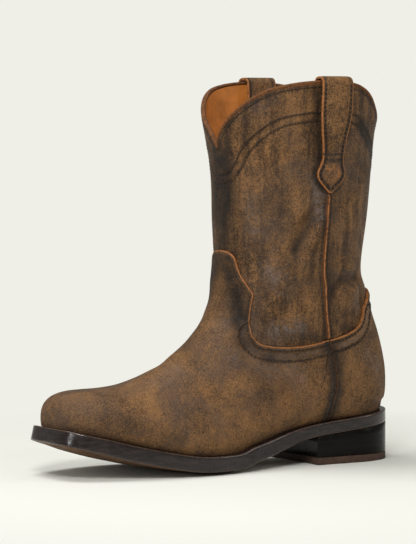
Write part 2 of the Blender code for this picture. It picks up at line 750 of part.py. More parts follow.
def sheared(y, z):
    """Where a point of the sole's outline at height z goes when the sole's edge leans."""
    return y + lean_at(y) * (z - welt_top(y))


def slab(name, material, rows, low, high, edge=0.0, belly=()):
    """A plate across the sole: rows of y, lateral x and medial x, with its bottom and top heights at each
    row. edge bevels the lower edges, and belly rounds the underside by its shares of the crown."""
    bm = bmesh.new()
    rings = []
    for (y, lateral, medial), bottom, top in zip(rows, low, high):
        middle, half = (lateral + medial) / 2, (lateral - medial) / 2
        corners = [(half, top), (half, bottom + edge)] if edge else [(half, top)]
        corners.append((half - min(edge, half / 2), bottom))
        corners += [(half * share, bottom - crown_at(y) * (1 - fall)) for share, fall in belly]
        corners += [(-x, z) for x, z in corners[::-1]]
        rings.append([bm.verts.new((middle + x, sheared(y, z), z)) for x, z in corners])
    for a, b in zip(rings, rings[1:]):
        for k in range(len(a)):
            bm.faces.new((a[k], a[(k + 1) % len(a)], b[(k + 1) % len(a)], b[k]))
    bm.faces.new(rings[0])
    bm.faces.new(rings[-1][::-1])
    return finish(bm, name, material)


def sole_edge(count=SOLE_STATIONS):
    """The sole's own outline, as wide as the welt."""
    return plan(*(reach + overlay() for reach in (WELT_REACH_HEEL, WELT_REACH_BALL, WELT_REACH_TOE)), count)


def make_outsole(material):
    """The outsole: heel seat, waist and forepart in one piece, with a rounded underside."""
    rows = sole_edge()
    y = rows[:, 0]
    return slab("outsole", material, rows, edge_rise(y), outsole_top(y), OUTSOLE_EDGE, BELLY)


def make_welt(material):
    """The welt: a flat strip all round, under the upper's edge and out to the sole's edge."""
    outer = sole_edge()
    under = -UPPER_WALL - 2 * GAP
    inner = plan(under, under, under, SOLE_STATIONS)
    bm = bmesh.new()
    rings = []
    order = [(k, 1) for k in range(len(outer))] + [(k, 2) for k in range(len(outer) - 2, 0, -1)]
    for k, side in order:
        ring = []
        for rows, tops in ((outer, (1, 0)), (inner, (0, 1))):
            y, x = rows[k, 0], rows[k, side]
            for top in tops:
                z = welt_top(y) if top else outsole_top(y) + GAP
                ring.append(bm.verts.new((x, sheared(y, z), z)))
        rings.append(ring)
    for a, b in zip(rings, rings[1:] + rings[:1]):
        for k in range(4):
            bm.faces.new((a[k], a[(k + 1) % 4], b[(k + 1) % 4], b[k]))
    return finish(bm, "welt", material)


def make_insole(material):
    """The insole: the flat floor inside the upper, over the outsole."""
    inside = -UPPER_WALL - INSOLE_INSET
    rows = plan(inside, inside, inside, SOLE_STATIONS)
    low = outsole_top(rows[:, 0]) + GAP
    return slab("insole", material, rows, low, low + INSOLE_THICKNESS)


def heel_rows():
    """The sole's outline from the heel's back as far as the heel's breast."""
    rows = sole_edge(4 * SOLE_STATIONS)
    kept = rows[rows[:, 0] > -HEEL_LENGTH / 2 + OUTSOLE_EDGE][::3]
    breast = [np.interp(HEEL_LENGTH / 2, -rows[:, 0], rows[:, k]) for k in (1, 2)]
    return np.concatenate([kept, [[-HEEL_LENGTH / 2, *breast]]])


def hollow_breast(target):
    """Cuts the heel's front face to a shallow curve, with an upright round cutter as wide as the ball."""
    radius = (BALL_WIDTH**2 / 4 + HEEL_HOLLOW**2) / (2 * HEEL_HOLLOW)
    bpy.ops.mesh.primitive_cylinder_add(vertices=CUTTER_SIDES, radius=radius, depth=4 * HEEL_HEIGHT)
    cutter = bpy.context.object
    cutter.name = target.name + "_cutter"
    cutter.location = (0, -HEEL_LENGTH / 2 - radius + HEEL_HOLLOW, HEEL_HEIGHT / 2)
    cutter.hide_render = True
    cutter.display_type = "WIRE"
    for collection in cutter.users_collection:
        collection.objects.unlink(cutter)
    CUTTERS.objects.link(cutter)
    cut = target.modifiers.new("breast", "BOOLEAN")
    cut.operation = "DIFFERENCE"
    cut.object = cutter


def make_heel(material):
    """The heel: stacked lifts as one block, from the top lift up to the outsole."""
    rows = heel_rows()
    low = np.full(len(rows), TOP_LIFT_THICKNESS + GAP)
    heel = slab("heel_stack", material, rows, low, rise_at(rows[:, 0]) - GAP)
    hollow_breast(heel)
    return heel


def make_top_lift(material):
    """The top lift: the flat layer that the heel stands on."""
    rows = heel_rows()
    lift = slab("top_lift", material, rows, np.zeros(len(rows)), np.full(len(rows), TOP_LIFT_THICKNESS))
    hollow_breast(lift)
    return lift


def make_piping(material):
    """The piping: a rounded bead that sits on the collar's edge."""
    bm = bmesh.new()
    around = columns_around()[:-1]
    rows = rim_row(around)
    outer, inner = on_upper(rows, around, 0.0), on_upper(rows, around, -UPPER_WALL)
    middle = (outer + inner) / 2
    out = outer - inner
    out /= np.linalg.norm(out, axis=1, keepdims=True)
    along = np.roll(middle, -1, axis=0) - np.roll(middle, 1, axis=0)
    along /= np.linalg.norm(along, axis=1, keepdims=True)
    up = np.cross(along, out)
    up *= np.sign(up[:, 2:3])
    rings = []
    for m, o, u in zip(middle, out, up):
        ring = []
        for k in range(PIPING_SIDES):
            angle = 2 * math.pi * (k + 0.5) / PIPING_SIDES
            across = math.copysign(abs(math.cos(angle)) ** 0.8, math.cos(angle)) * PIPING_WIDTH / 2
            above = math.copysign(abs(math.sin(angle)) ** 0.8, math.sin(angle)) * PIPING_HEIGHT / 2
            ring.append(bm.verts.new(m + o * across + u * (above + PIPING_HEIGHT / 2 + GAP)))
        rings.append(ring)
    for a, b in zip(rings, rings[1:] + rings[:1]):
        for k in range(PIPING_SIDES):
            bm.faces.new((a[k], a[(k + 1) % PIPING_SIDES], b[(k + 1) % PIPING_SIDES], b[k]))
    return finish(bm, "top_piping", material)


def oval_girth(length, width):
    """Length once round an oval."""
    return 2 * math.pi * math.sqrt((length**2 + width**2) / 8)


def make_seam_strip(name, material, side):
    """The raised strip down a side seam, from under the pull strap to the vamp's edge."""
    top = float(row_at_height(SHAFT_HEIGHT - STRAP_DROP - 2 * GAP))
    bottom = VAMP_EDGE[0][1] - SEAM_END
    down = np.linspace(top, bottom, SEAM_STATIONS)
    centre = SEAM_AROUND + (VAMP_EDGE[0][0] - SEAM_AROUND) * ((down - top) / (bottom - top)) ** 2
    half = SEAM_STRIP_WIDTH / 2 / oval_girth(ANKLE_LENGTH, ANKLE_WIDTH)
    rows = np.stack([down] * 3, axis=1)
    around = np.stack([centre - half, centre, centre + half], axis=1)
    if side:
        around = 1 - around
    outer = on_upper(rows, around, GAP + SEAM_STRIP_HEIGHT * np.array(SEAM_PROFILE))
    bm = bmesh.new()
    add_plate(bm, outer, on_upper(rows, around, GAP))
    return finish(bm, name, material)


def row_at_height(z):
    """Section number at a height on the shaft."""
    fine = np.linspace(0, len(SHAFT) + 2, FINE)
    heights = smooth(ROW_NUMBERS, ROWS[:, 1], fine)
    return np.interp(-np.asarray(z), -heights, fine)


def strap_wide(down):
    """The strap's width at a share of its outer drop."""
    downs = column(STRAP_SHAPE, STRAP_COLUMNS, "down")
    return float(smooth(downs, column(STRAP_SHAPE, STRAP_COLUMNS, "wide"), down)) * STRAP_WIDTH


def standoff(table, down):
    """How far the strap stands off at a share of its drop, as a share of the full standoff."""
    downs = column(table, STANDOFF_COLUMNS, "down")
    return max(0.0, float(smooth(downs, column(table, STANDOFF_COLUMNS, "off"), down)))


def strap_stations():
    """The strap's stations from its outer tip over the collar to its inner end: height, distance of its
    middle from the upper's outer face, and width."""
    half = STRAP_THICKNESS / 2
    seat = GAP + SEAT_CLEARANCE + half
    crest = float(rim_height(np.array(STRAP_TOP_AROUND)))
    over_piping = (PIPING_WIDTH - UPPER_WALL) / 2 + STRAP_STANDOFF
    made = []
    for down in STRAP_DOWN_OUTER:
        offset = seat + standoff(STANDOFF_OUTER, down) * over_piping
        made.append((crest - down * STRAP_DROP, offset, strap_wide(down)))
    wide = strap_wide(0.0)
    reach = over_piping + GAP + half
    top = crest + GAP + PIPING_HEIGHT + GAP + half
    fold = [(along * STRAP_FOLD_RADIUS, up * STRAP_FOLD_RADIUS) for along, up in STRAP_FOLD]
    made += [(top - up, reach - along, wide) for along, up in fold]
    made.append((top, -UPPER_WALL / 2, wide))
    made += [(top - up, along - UPPER_WALL - reach, wide) for along, up in fold[::-1]]
    for down in STRAP_DOWN_INNER:
        offset = -UPPER_WALL - seat - standoff(STANDOFF_INNER, down) * over_piping
        made.append((crest - down * STRAP_INNER_DROP, offset, wide))
    return made, crest


def make_strap(name, material, side):
    """A pull strap: sewn flat to the shaft at its outer tip, up over the collar's edge, and down inside."""
    stations, crest = strap_stations()
    spread = np.linspace(-0.5, 0.5, STRAP_COLUMNS_ACROSS)
    grid = []
    for z, offset, width in stations:
        share = min(max((crest - z) / STRAP_DROP, 0), 1) if offset > 0 else 0.0
        centre = STRAP_TOP_AROUND + (SEAM_AROUND - STRAP_TOP_AROUND) * share
        around = centre + spread * width / oval_girth(SHAFT_LENGTH, SHAFT_WIDTH)
        at = on_upper(row_at_height(min(z, SHAFT_HEIGHT)), around, offset)
        at[:, 2] = z
        grid.append(at)
    grid = np.array(grid)
    normals = np.cross(np.gradient(grid, axis=0), np.gradient(grid, axis=1))
    normals /= np.linalg.norm(normals, axis=2, keepdims=True)
    if side:
        grid, normals = grid * (-1, 1, 1), normals * (-1, 1, 1)
    bm = bmesh.new()
    half = STRAP_THICKNESS / 2
    add_plate(bm, grid + normals * half, grid - normals * half)
    return finish(bm, name, material)


for old in list(bpy.data.objects):
    bpy.data.objects.remove(old)
BOOT = bpy.data.collections.new("roper_boot")
CUTTERS = bpy.data.collections.new("cutters")
bpy.context.scene.collection.children.link(BOOT)
bpy.context.scene.collection.children.link(CUTTERS)

waxed = new_material("waxed_leather", (0.115, 0.062, 0.032), 0.62)
raw = new_material("raw_edge_leather", (0.36, 0.16, 0.06), 0.7)
lining = new_material("lining_leather", (0.42, 0.19, 0.065), 0.6)
edge_brown = new_material("sole_edge", (0.03, 0.018, 0.014), 0.3)
heel_black = new_material("heel_black", (0.01, 0.009, 0.008), 0.25)
rubber = new_material("top_lift_rubber", (0.06, 0.03, 0.02), 0.7)

make_upper(waxed)
make_vamp(waxed)
make_counter(waxed)
make_seam_strip("side_seam_outer", raw, 0)
make_seam_strip("side_seam_inner", raw, 1)
make_piping(raw)
make_strap("pull_strap_outer", waxed, 0)
make_strap("pull_strap_inner", waxed, 1)
make_insole(lining)
make_welt(edge_brown)
make_outsole(edge_brown)
make_heel(heel_black)
make_top_lift(rubber)
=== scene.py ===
"""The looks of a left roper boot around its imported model: distressed leather with stitched overlays, raw tan
edges, sewn channels, creases, lining, and a burnished sole and heel. Metres, +Z up, toe towards -Y, outer
side towards +X."""

import math

import bpy
import numpy as np
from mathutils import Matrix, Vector
from mathutils.bvhtree import BVHTree


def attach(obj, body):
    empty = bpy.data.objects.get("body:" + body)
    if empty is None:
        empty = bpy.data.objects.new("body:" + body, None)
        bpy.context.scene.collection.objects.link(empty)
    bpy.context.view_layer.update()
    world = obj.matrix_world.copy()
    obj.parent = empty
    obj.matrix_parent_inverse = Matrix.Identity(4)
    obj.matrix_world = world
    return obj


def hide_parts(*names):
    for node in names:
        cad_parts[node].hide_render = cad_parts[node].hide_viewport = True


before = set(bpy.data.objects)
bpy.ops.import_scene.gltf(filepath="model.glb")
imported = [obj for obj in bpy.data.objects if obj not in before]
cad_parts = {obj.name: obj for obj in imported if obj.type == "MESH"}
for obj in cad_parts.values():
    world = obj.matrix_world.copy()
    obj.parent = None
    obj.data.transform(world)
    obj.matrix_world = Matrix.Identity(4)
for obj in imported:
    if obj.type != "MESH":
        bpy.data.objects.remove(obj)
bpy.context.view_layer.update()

# Sizes of the last, the form that the boot is built on. ANKLE_MIDDLE is a share of the foot's length
FOOT_LENGTH = 0.2752
BALL_WIDTH = 0.0920
HEEL_SEAT_WIDTH = 0.0560
INSTEP_HEIGHT = 0.1050
ANKLE_HEIGHT = 0.1650
ANKLE_LENGTH = 0.1195
ANKLE_MIDDLE = 0.2745
ANKLE_WIDTH = 0.0930
TOE_SPRING = 0.0230
TOE_BLUNTNESS = 5.0
HEEL_BLUNTNESS = 2.15

# Sizes of the shaft and its collar
SHAFT_HEIGHT = 0.2825
SHAFT_LENGTH = 0.1420
SHAFT_WIDTH = 0.1080
SHAFT_LEAN = 0.0015
FRONT_DIP = 0.0485
BACK_DIP = 0.0460

# Leather thicknesses and the clearance between pieces that touch
UPPER_WALL = 0.0028
OVERLAY_LEATHER = 0.0011
LAP_GAP = 0.0011
SEAM_STRIP_HEIGHT = 0.0012
SEAM_STRIP_WIDTH = 0.0034
PIPING_HEIGHT = 0.0024
PIPING_WIDTH = 0.0036
GAP = 0.0003
SEAM_GAP = 0.00045

# Sizes of the sole and heel
WELT_THICKNESS = 0.0035
WELT_REACH_TOE = 0.0042
WELT_REACH_BALL = 0.0056
WELT_REACH_HEEL = 0.0042
OUTSOLE_THICKNESS = 0.0075
OUTSOLE_CROWN = 0.0026
HEEL_HEIGHT = 0.0285
HEEL_LENGTH = 0.0789
HEEL_HOLLOW = 0.0025
TOP_LIFT_THICKNESS = 0.0055

# Sizes of the pull straps
STRAP_WIDTH = 0.0262
STRAP_THICKNESS = 0.0024
STRAP_DROP = 0.0800
STRAP_INNER_DROP = 0.0620
STRAP_STANDOFF = 0.0026
SEAT_CLEARANCE = 0.0003

# How far the outer faces of vamp and counter stand off the upper, and the y of the last's heel point
OVERLAY = LAP_GAP + OVERLAY_LEATHER
SEAT_BACK = HEEL_LENGTH / 2 - WELT_REACH_HEEL - OVERLAY

# How finely the upper's surface and the lines on it are worked out
MEETING_POINTS = 30
MASTER_STEPS = 16
MASTER_AROUND = 240
SECTION_POINTS = 161
FINE = 300
FINE_STEPS = 40

# Bottom edge of the last from heel to toe. along: share of the foot's length. heel: share of half the heel
# seat's width. lateral, medial: shares of the ball's width, added to it
OUTLINE = (
    (0, 1, 0, 0), (0.11, 1, 0, 0), (0.25, 0.9, 0.032, 0.006), (0.375, 0.3, 0.238, 0.145),
    (0.49, 0, 0.412, 0.29), (0.6, 0, 0.49, 0.395), (0.69, 0, 0.5, 0.468), (0.775, 0, 0.466, 0.48),
    (0.85, 0, 0.414, 0.436), (0.92, 0, 0.35, 0.365), (1, 0, 0.268, 0.275),
)
OUTLINE_ALONG, OUTLINE_HEEL, *OUTLINE_SIDES = np.array(OUTLINE).T
HEEL_END = 0.145
TOE_END = 0.850
# Where the sole's reach past the last changes from its heel value to its ball and toe values
REACH_STATIONS = (0.0, 0.22, 0.55, 0.85, 1.0)

# How far the sole is lifted off the floor. heel: share of the heel's height. toe: share of the toe
# spring. crown: share of the rounding that lifts the sole's edges above its middle. welt: share of the
# welt's thickness
RISE = (
    (-0.02, 1.015, 0, 0, 0.5), (0.05, 0.94, 0, 0, 0.5), (0.15, 0.845, 0, 0, 0.5), (0.25, 0.752, 0, 0, 0.5),
    (0.31, 0.66, 0, 0.05, 0.55), (0.37, 0.49, 0, 0.3, 0.7), (0.43, 0.29, 0, 0.7, 0.9),
    (0.49, 0.13, 0, 1, 1), (0.53, 0.02, 0, 1, 1), (0.548, 0, 0, 1, 1), (0.575, 0, 0, 1, 1),
    (0.625, 0, 0, 1, 1), (0.665, 0, 0.035, 1, 1), (0.74, 0, 0.18, 1, 1), (0.83, 0, 0.41, 1, 1),
    (0.92, 0, 0.7, 1, 0.95), (1, 0, 0.96, 0.9, 0.85), (1.04, 0, 1.09, 0.8, 0.85),
)
RISE_ALONG, RISE_HEEL, RISE_TOE, RISE_CROWN, RISE_WELT = np.array(RISE).T
# Sole's rounded underside. across: share of half its width, fall: share of the crown risen there
BELLY = ((0.93, 0.9), (0.86, 0.78), (0.72, 0.62), (0.42, 0.12), (0.25, 0.0), (0.12, 0.0))
BREAST_ALONG = 0.27
LEAN_RUN = 0.10

# Height over which the upper's wall turns upright where it meets the welt
FLARE = 0.009

# Sections of the shaft, from the collar down to the ankle. rise: share of the way from ankle to collar.
# front and back: reach from the ankle's middle, side: half width, as shares of the shaft's size less the
# ankle's
SHAFT = (
    (1.06, 0.4, 0.35, 1, 2.15), (0.82, 0.41, 0.4, 0.86, 2.15), (0.68, 0.28, 0.3, 0.68, 2.15),
    (0.52, 0.1, 0.22, 0.5, 2.15), (0.34, 0.02, 0.15, 0.32, 2.15), (0.15, 0, 0.07, 0.12, 2.15),
)

# Sections of the ankle and foot. ridge: front or top point, back: back or bottom point, along as shares
# of the foot's length and up as shares of the instep's height. lateral, medial: greatest half width as a
# share of the ball's width. widest: where that is, as a share from back to ridge. over, under: squareness
# above and below
FOOT = (
    (0.485, 1.43, 0.069, 1.39, 0.495, 0.49, 0.5, 2.15, 2.15),
    (0.4926, 1.288, 0.05, 1.24, 0.472, 0.466, 0.5, 2.12, 2.15),
    (0.5025, 1.159, 0.036, 1.078, 0.45, 0.442, 0.5, 2.1, 2.15),
    (0.5211, 1.057, 0.012, 0.925, 0.43, 0.42, 0.49, 2.1, 2.15),
    (0.5428, 0.983, -0.005, 0.795, 0.414, 0.4, 0.48, 2.08, 2.15),
    (0.5652, 0.925, -0.016, 0.668, 0.402, 0.385, 0.47, 2.06, 2.2),
    (0.5856, 0.876, -0.019, 0.55, 0.394, 0.374, 0.46, 2.05, 2.25),
    (0.6049, 0.837, -0.014, 0.45, 0.39, 0.366, 0.45, 2.05, 2.35),
    (0.623, 0.803, 0, 0.38, 0.388, 0.36, 0.45, 2.05, 2.4),
    (0.6411, 0.77, 0.03, 0, 0.388, 0.355, 0.45, 2.05, 2.4),
    (0.6605, 0.736, 0.105, 0, 0.392, 0.352, 0.44, 2.05, 2.3),
    (0.6849, 0.702, 0.225, 0, 0.405, 0.352, 0.42, 2.08, 2.2),
    (0.7153, 0.665, 0.365, 0, 0.44, 0.362, 0.38, 2.1, 2.1),
    (0.7518, 0.629, 0.5, 0, 0.495, 0.412, 0.33, 2.14, 2.05),
    (0.7945, 0.595, 0.625, 0, 0.532, 0.47, 0.3, 2.2, 2),
    (0.8413, 0.577, 0.735, 0, 0.52, 0.51, 0.29, 2.3, 2),
    (0.8827, 0.572, 0.825, 0, 0.465, 0.484, 0.3, 2.4, 2),
    (0.9099, 0.57, 0.885, 0, 0.41, 0.425, 0.31, 2.5, 2),
    (0.942, 0.57, 0.935, 0, 0.366, 0.38, 0.32, 2.6, 2), (1, 0.57, 1, 0, 0.3, 0.31, 0.34, 2.7, 2),
)
HEEL_ROW = len(SHAFT) + 8
TOE_ROW = len(SHAFT) + 16
LAST_ROW = len(SHAFT) + len(FOOT) - 1
TOE_BOX_ROUND = 4.2
TOE_BOX_START = 0.850
TOE_BOX_BULGE = 0.10

# The collar's edge, from the back round the outer side to the front: around as a share of the way round,
# drop as a share of the back's dip before the middle and of the front's dip after it
RIM = (
    (0, 1), (0.02, 0.92), (0.05, 0.74), (0.08, 0.55), (0.109, 0.37), (0.128, 0.23), (0.165, 0.07),
    (0.21, 0), (0.29, 0), (0.33, 0.04), (0.368, 0.11), (0.406, 0.26), (0.433, 0.42), (0.471, 0.69),
    (0.49, 0.86), (0.5, 1),
)
RIM_AROUND, RIM_DROP = np.array(RIM).T
RIM_MIDDLE = 0.250
RIM_ROW = 3
ANKLE_ROW = 5

# Top edge of the vamp on the outer side, from the side seam to the tongue's tip. around: share of the way
# round the section, row: section number counted from the collar
VAMP_EDGE = (
    (0.226, 9.87), (0.276, 10.46), (0.312, 10.79), (0.348, 10.96), (0.376, 10.82), (0.395, 10.18),
    (0.407, 9.2), (0.41, 8.15), (0.407, 7.4), (0.427, 6.81), (0.447, 6.09), (0.456, 5.8), (0.471, 5.7),
    (0.5, 5.66),
)
VAMP_CORNER = 5
TONGUE_CORNER = 8

# Top edge of the counter, from the side seam to the middle of the back
COUNTER_EDGE = (
    (0.226, 9.87), (0.185, 9.4), (0.145, 8.82), (0.12, 8.18), (0.09, 7.48), (0.06, 7.18), (0.03, 7.06),
    (0, 7.02),
)

# Line where vamp and counter meet, in the side view from the vamp's edge down to the welt. along: share
# of the foot's length, up: share of the instep's height
MEETING = (
    (0.24, 0.888), (0.226, 0.82), (0.216, 0.74), (0.208, 0.65), (0.205, 0.57), (0.21, 0.49),
    (0.217, 0.415), (0.222, 0.34),
)
MEETING_ALONG, MEETING_UP = np.array(MEETING).T
SEAM_AROUND = 0.245
# How far the seam strip's end stops short of the vamp, in sections
SEAM_END = 0.06

# Pull strap's width from its top to its outer tip, down as a share of the drop and wide as a share of its
# width
STRAP_SHAPE = (
    (0, 1), (0.3, 0.98), (0.45, 0.87), (0.6, 0.75), (0.7, 0.74), (0.76, 0.86), (0.8, 0.98), (0.86, 0.96),
    (1, 0.12),
)
STRAP_DOWN, STRAP_WIDE = np.array(STRAP_SHAPE).T
STRAP_TOP_AROUND = 0.238
# How far the strap stands off the shaft. down: share of the outer or inner drop, off: share of the full
# standoff
STANDOFF_OUTER = ((0.0, 1.0), (0.30, 1.0), (0.62, 0.45), (0.80, 0.0), (1.0, 0.0))
STANDOFF_INNER = ((0.0, 1.0), (0.40, 0.9), (0.80, 0.1), (1.0, 0.0))
# Where the strap's stations lie on each side, as shares of that side's drop, and its fold over the
# collar: along and up as shares of the fold's radius, measured from the fold's outer top corner
STRAP_DOWN_OUTER = (1.0, 0.93, 0.86, 0.80, 0.74, 0.62, 0.48, 0.34, 0.20, 0.08)
STRAP_DOWN_INNER = (0.16, 0.36, 0.56, 0.76, 0.90, 1.0)
STRAP_FOLD = ((0.0, 1.6), (0.35, 0.5), (1.2, 0.0))
STRAP_FOLD_RADIUS = 0.0028


def smooth(known, values, at):
    """A smooth curve through known points, read at any places: cubic pieces with the neighbours' slopes."""
    known = np.asarray(known, float)
    values = np.asarray(values, float)
    at = np.clip(np.asarray(at, float), known[0], known[-1])
    steps = np.diff(known)
    chords = np.diff(values) / steps
    slopes = np.empty_like(values)
    slopes[0], slopes[-1] = chords[0], chords[-1]
    slopes[1:-1] = (chords[:-1] * steps[1:] + chords[1:] * steps[:-1]) / (steps[1:] + steps[:-1])
    i = np.clip(np.searchsorted(known, at, side="right") - 1, 0, len(known) - 2)
    h = steps[i]
    t = (at - known[i]) / h
    return (
        (2 * t**3 - 3 * t**2 + 1) * values[i]
        + (t**3 - 2 * t**2 + t) * h * slopes[i]
        + (3 * t**2 - 2 * t**3) * values[i + 1]
        + (t**3 - t**2) * h * slopes[i + 1]
    )


def run_along(points):
    """Distance along a line of points to each of them."""
    return np.concatenate([[0], np.cumsum(np.linalg.norm(np.diff(points, axis=0), axis=1))])


def read(line, run, at):
    """A line's points at distances at, where run holds its own points' distances."""
    return np.stack([np.interp(at, run, line[:, k]) for k in range(line.shape[1])], axis=-1)


def unit(vectors, least=1e-9):
    return vectors / np.maximum(np.linalg.norm(vectors, axis=-1, keepdims=True), least)


def y_at(along):
    return SEAT_BACK - np.asarray(along) * FOOT_LENGTH


def along_at(y):
    return (SEAT_BACK - np.asarray(y)) / FOOT_LENGTH


def rise_at(y):
    """How far the sole is lifted off the floor at y, by the heel or by the toe spring."""
    along = along_at(y)
    heel, toe = (np.maximum(smooth(RISE_ALONG, shares, along), 0) for shares in (RISE_HEEL, RISE_TOE))
    return heel * HEEL_HEIGHT + toe * TOE_SPRING


def crown_at(y):
    """How much higher the sole's edges are than its middle at y."""
    return OUTSOLE_CROWN * np.clip(smooth(RISE_ALONG, RISE_CROWN, along_at(y)), 0, 1)


def edge_rise(y):
    return rise_at(y) + crown_at(y)


def lean_at(y):
    """How far the sole's edge leans along y for each metre up: square to the sole's slope in front of the
    heel."""
    step = 0.002
    slope = (edge_rise(np.asarray(y) + step) - edge_rise(np.asarray(y) - step)) / (2 * step)
    free = np.clip((along_at(y) - BREAST_ALONG) / LEAN_RUN, 0, 1)
    return -slope * free


def welt_top(y):
    welt = smooth(RISE_ALONG, RISE_WELT, along_at(y)) * WELT_THICKNESS
    return edge_rise(y) + OUTSOLE_THICKNESS + GAP + welt


def end_factor(along):
    """How the outline closes at its rounded heel and at its blunt toe."""
    heel = np.clip((HEEL_END - along) / HEEL_END, 0, 1)
    toe = np.clip((along - TOE_END) / (1 - TOE_END), 0, 1)
    rounded = (1 - heel**HEEL_BLUNTNESS) ** (1 / HEEL_BLUNTNESS)
    return rounded * (1 - toe**TOE_BLUNTNESS) ** (1 / TOE_BLUNTNESS)


def half_widths(along, extra=0.0):
    """(lateral, medial) half widths of the last's bottom edge, made wider by extra."""
    along = np.clip(along, 0, 1)
    heel = smooth(OUTLINE_ALONG, OUTLINE_HEEL, along) * HEEL_SEAT_WIDTH / 2
    balls = (smooth(OUTLINE_ALONG, shares, along) * BALL_WIDTH for shares in OUTLINE_SIDES)
    return [(heel + ball + extra) * end_factor(along) for ball in balls]


def plan(grow_heel, grow_ball, grow_toe, count):
    """The last's bottom outline made larger: rows of y, lateral x and medial x, from heel to toe."""
    share = 0.5 - 0.5 * np.cos(np.pi * np.arange(count + 1) / count)
    y = SEAT_BACK + grow_heel - share * (FOOT_LENGTH + grow_heel + grow_toe)
    grow = smooth(REACH_STATIONS, (grow_heel, grow_heel, grow_ball, grow_toe, grow_toe), share)
    lateral, medial = half_widths(share, grow)
    return np.stack([y, lateral, -medial], axis=1)


def section_rows():
    """Every section's sizes, collar first: ridge and back points, half widths, widest share, squareness."""
    rows = []
    middle = y_at(ANKLE_MIDDLE)
    longer = SHAFT_LENGTH - ANKLE_LENGTH
    for rise, front, back, side, squareness in SHAFT:
        z = ANKLE_HEIGHT + rise * (SHAFT_HEIGHT - ANKLE_HEIGHT)
        half = ANKLE_WIDTH / 2 + side * (SHAFT_WIDTH - ANKLE_WIDTH) / 2
        y_front = middle - ANKLE_LENGTH / 2 - front * longer + rise * SHAFT_LEAN
        y_back = middle + ANKLE_LENGTH / 2 + back * longer + rise * SHAFT_LEAN
        rows.append((y_front, z, y_back, z, half, half, 0.5, squareness, squareness))
    for ridge, ridge_up, back, back_up, lateral, medial, *rest in FOOT:
        ends = (y_at(ridge), ridge_up * INSTEP_HEIGHT, y_at(back), back_up * INSTEP_HEIGHT)
        rows.append((*ends, lateral * BALL_WIDTH, medial * BALL_WIDTH, *rest))
    return np.array(rows)


ROWS = section_rows()
ROW_NUMBERS = np.arange(len(ROWS), dtype=float)
ANGLES = np.linspace(0, 1, SECTION_POINTS)


def section_sizes(row):
    """A section between the table's rows. From the heel row on its back point lies on the welt."""
    sizes = [float(smooth(ROW_NUMBERS, ROWS[:, k], row)) for k in range(ROWS.shape[1])]
    if row >= HEEL_ROW:
        sizes[2] = min(sizes[2], SEAT_BACK)
        sizes[3] = float(welt_top(sizes[2])) + GAP
    return sizes


def half_section(row, side):
    """Points of one side of a section, from its back or bottom up to the ridge."""
    ridge_y, ridge_z, back_y, back_z, lateral, medial, widest, over, under = section_sizes(row)
    widest_half = (lateral, medial)[side]
    edge = float(half_widths(along_at(back_y))[side]) if row > HEEL_ROW else 0.0
    if row > TOE_ROW:
        share = (float(along_at(back_y)) - TOE_BOX_START) / (1 - TOE_BOX_START)
        close = (1 - min(max(share, 0.0), 1.0) ** TOE_BOX_ROUND) ** (1 / TOE_BOX_ROUND)
        widest_half = max(edge * (1 + TOE_BOX_BULGE * close), 1e-5)
        ridge_z = back_z + (ridge_z - back_z) * close
        ridge_y = back_y + (ridge_y - back_y) * close
    widest_half = max(widest_half, edge * 1.001, 1e-5)
    cut = -math.acos(min(1.0, (edge / widest_half) ** (under / 2)))
    angle = cut + (math.pi / 2 - cut) * ANGLES
    turned = np.abs(np.sin(angle))
    above = angle >= 0
    deepest = abs(math.sin(cut)) if cut < 0 else 1.0
    height = np.where(
        above,
        widest + (1 - widest) * turned ** (2 / over),
        widest - widest * (turned / deepest) ** (2 / under),
    )
    power = np.where(above, 2 / over, 2 / under)
    width = widest_half * np.maximum(np.cos(angle), 0) ** power
    sign = 1 if side == 0 else -1
    return np.stack(
        [sign * width, back_y + (ridge_y - back_y) * height, back_z + (ridge_z - back_z) * height], axis=1
    )


def section(row):
    """A whole section with evenly spaced points, from the back round the outer side and ridge to the back."""
    points = np.concatenate([half_section(row, 0), half_section(row, 1)[::-1][1:]])
    run = run_along(points)
    ridge = run[len(ANGLES) - 1]
    lateral = 0.5 * run / max(ridge, 1e-9)
    medial = 0.5 + 0.5 * (run - ridge) / max(run[-1] - ridge, 1e-9)
    return read(points, np.where(run <= ridge, lateral, medial), np.linspace(0, 1, MASTER_AROUND + 1))


def master_grid():
    """The upper's outer face as a fine grid of points, with its outward normals."""
    numbers = np.linspace(0, LAST_ROW, LAST_ROW * MASTER_STEPS + 1)
    points = np.array([section(row) for row in numbers])
    down, across = np.gradient(points, axis=0), np.gradient(points, axis=1)
    closed = numbers <= HEEL_ROW
    across[closed, 0] = across[closed, -1] = (points[closed, 1] - points[closed, -2]) / 2
    down[closed, 0] = down[closed, -1] = (down[closed, 0] + down[closed, -1]) / 2
    normals = unit(np.cross(across, down), 1e-12)
    normals[-1] = (0, -1, 0)
    return numbers, points, normals


NUMBERS, POINTS, NORMALS = master_grid()


def rim_height(around):
    """Height of the collar's edge, the same on both sides."""
    half = np.where(around > 0.5, 1 - around, around)
    dip = np.where(half < RIM_MIDDLE, BACK_DIP, FRONT_DIP)
    return SHAFT_HEIGHT - smooth(RIM_AROUND, RIM_DROP, half) * dip


def rim_row(around):
    """Section number where the collar's edge is."""
    heights = ROWS[: len(SHAFT) + 1, 1]
    fine = np.linspace(0, len(SHAFT), FINE)
    z = smooth(ROW_NUMBERS[: len(SHAFT) + 1], heights, fine)
    return np.interp(-rim_height(around), -z, fine)


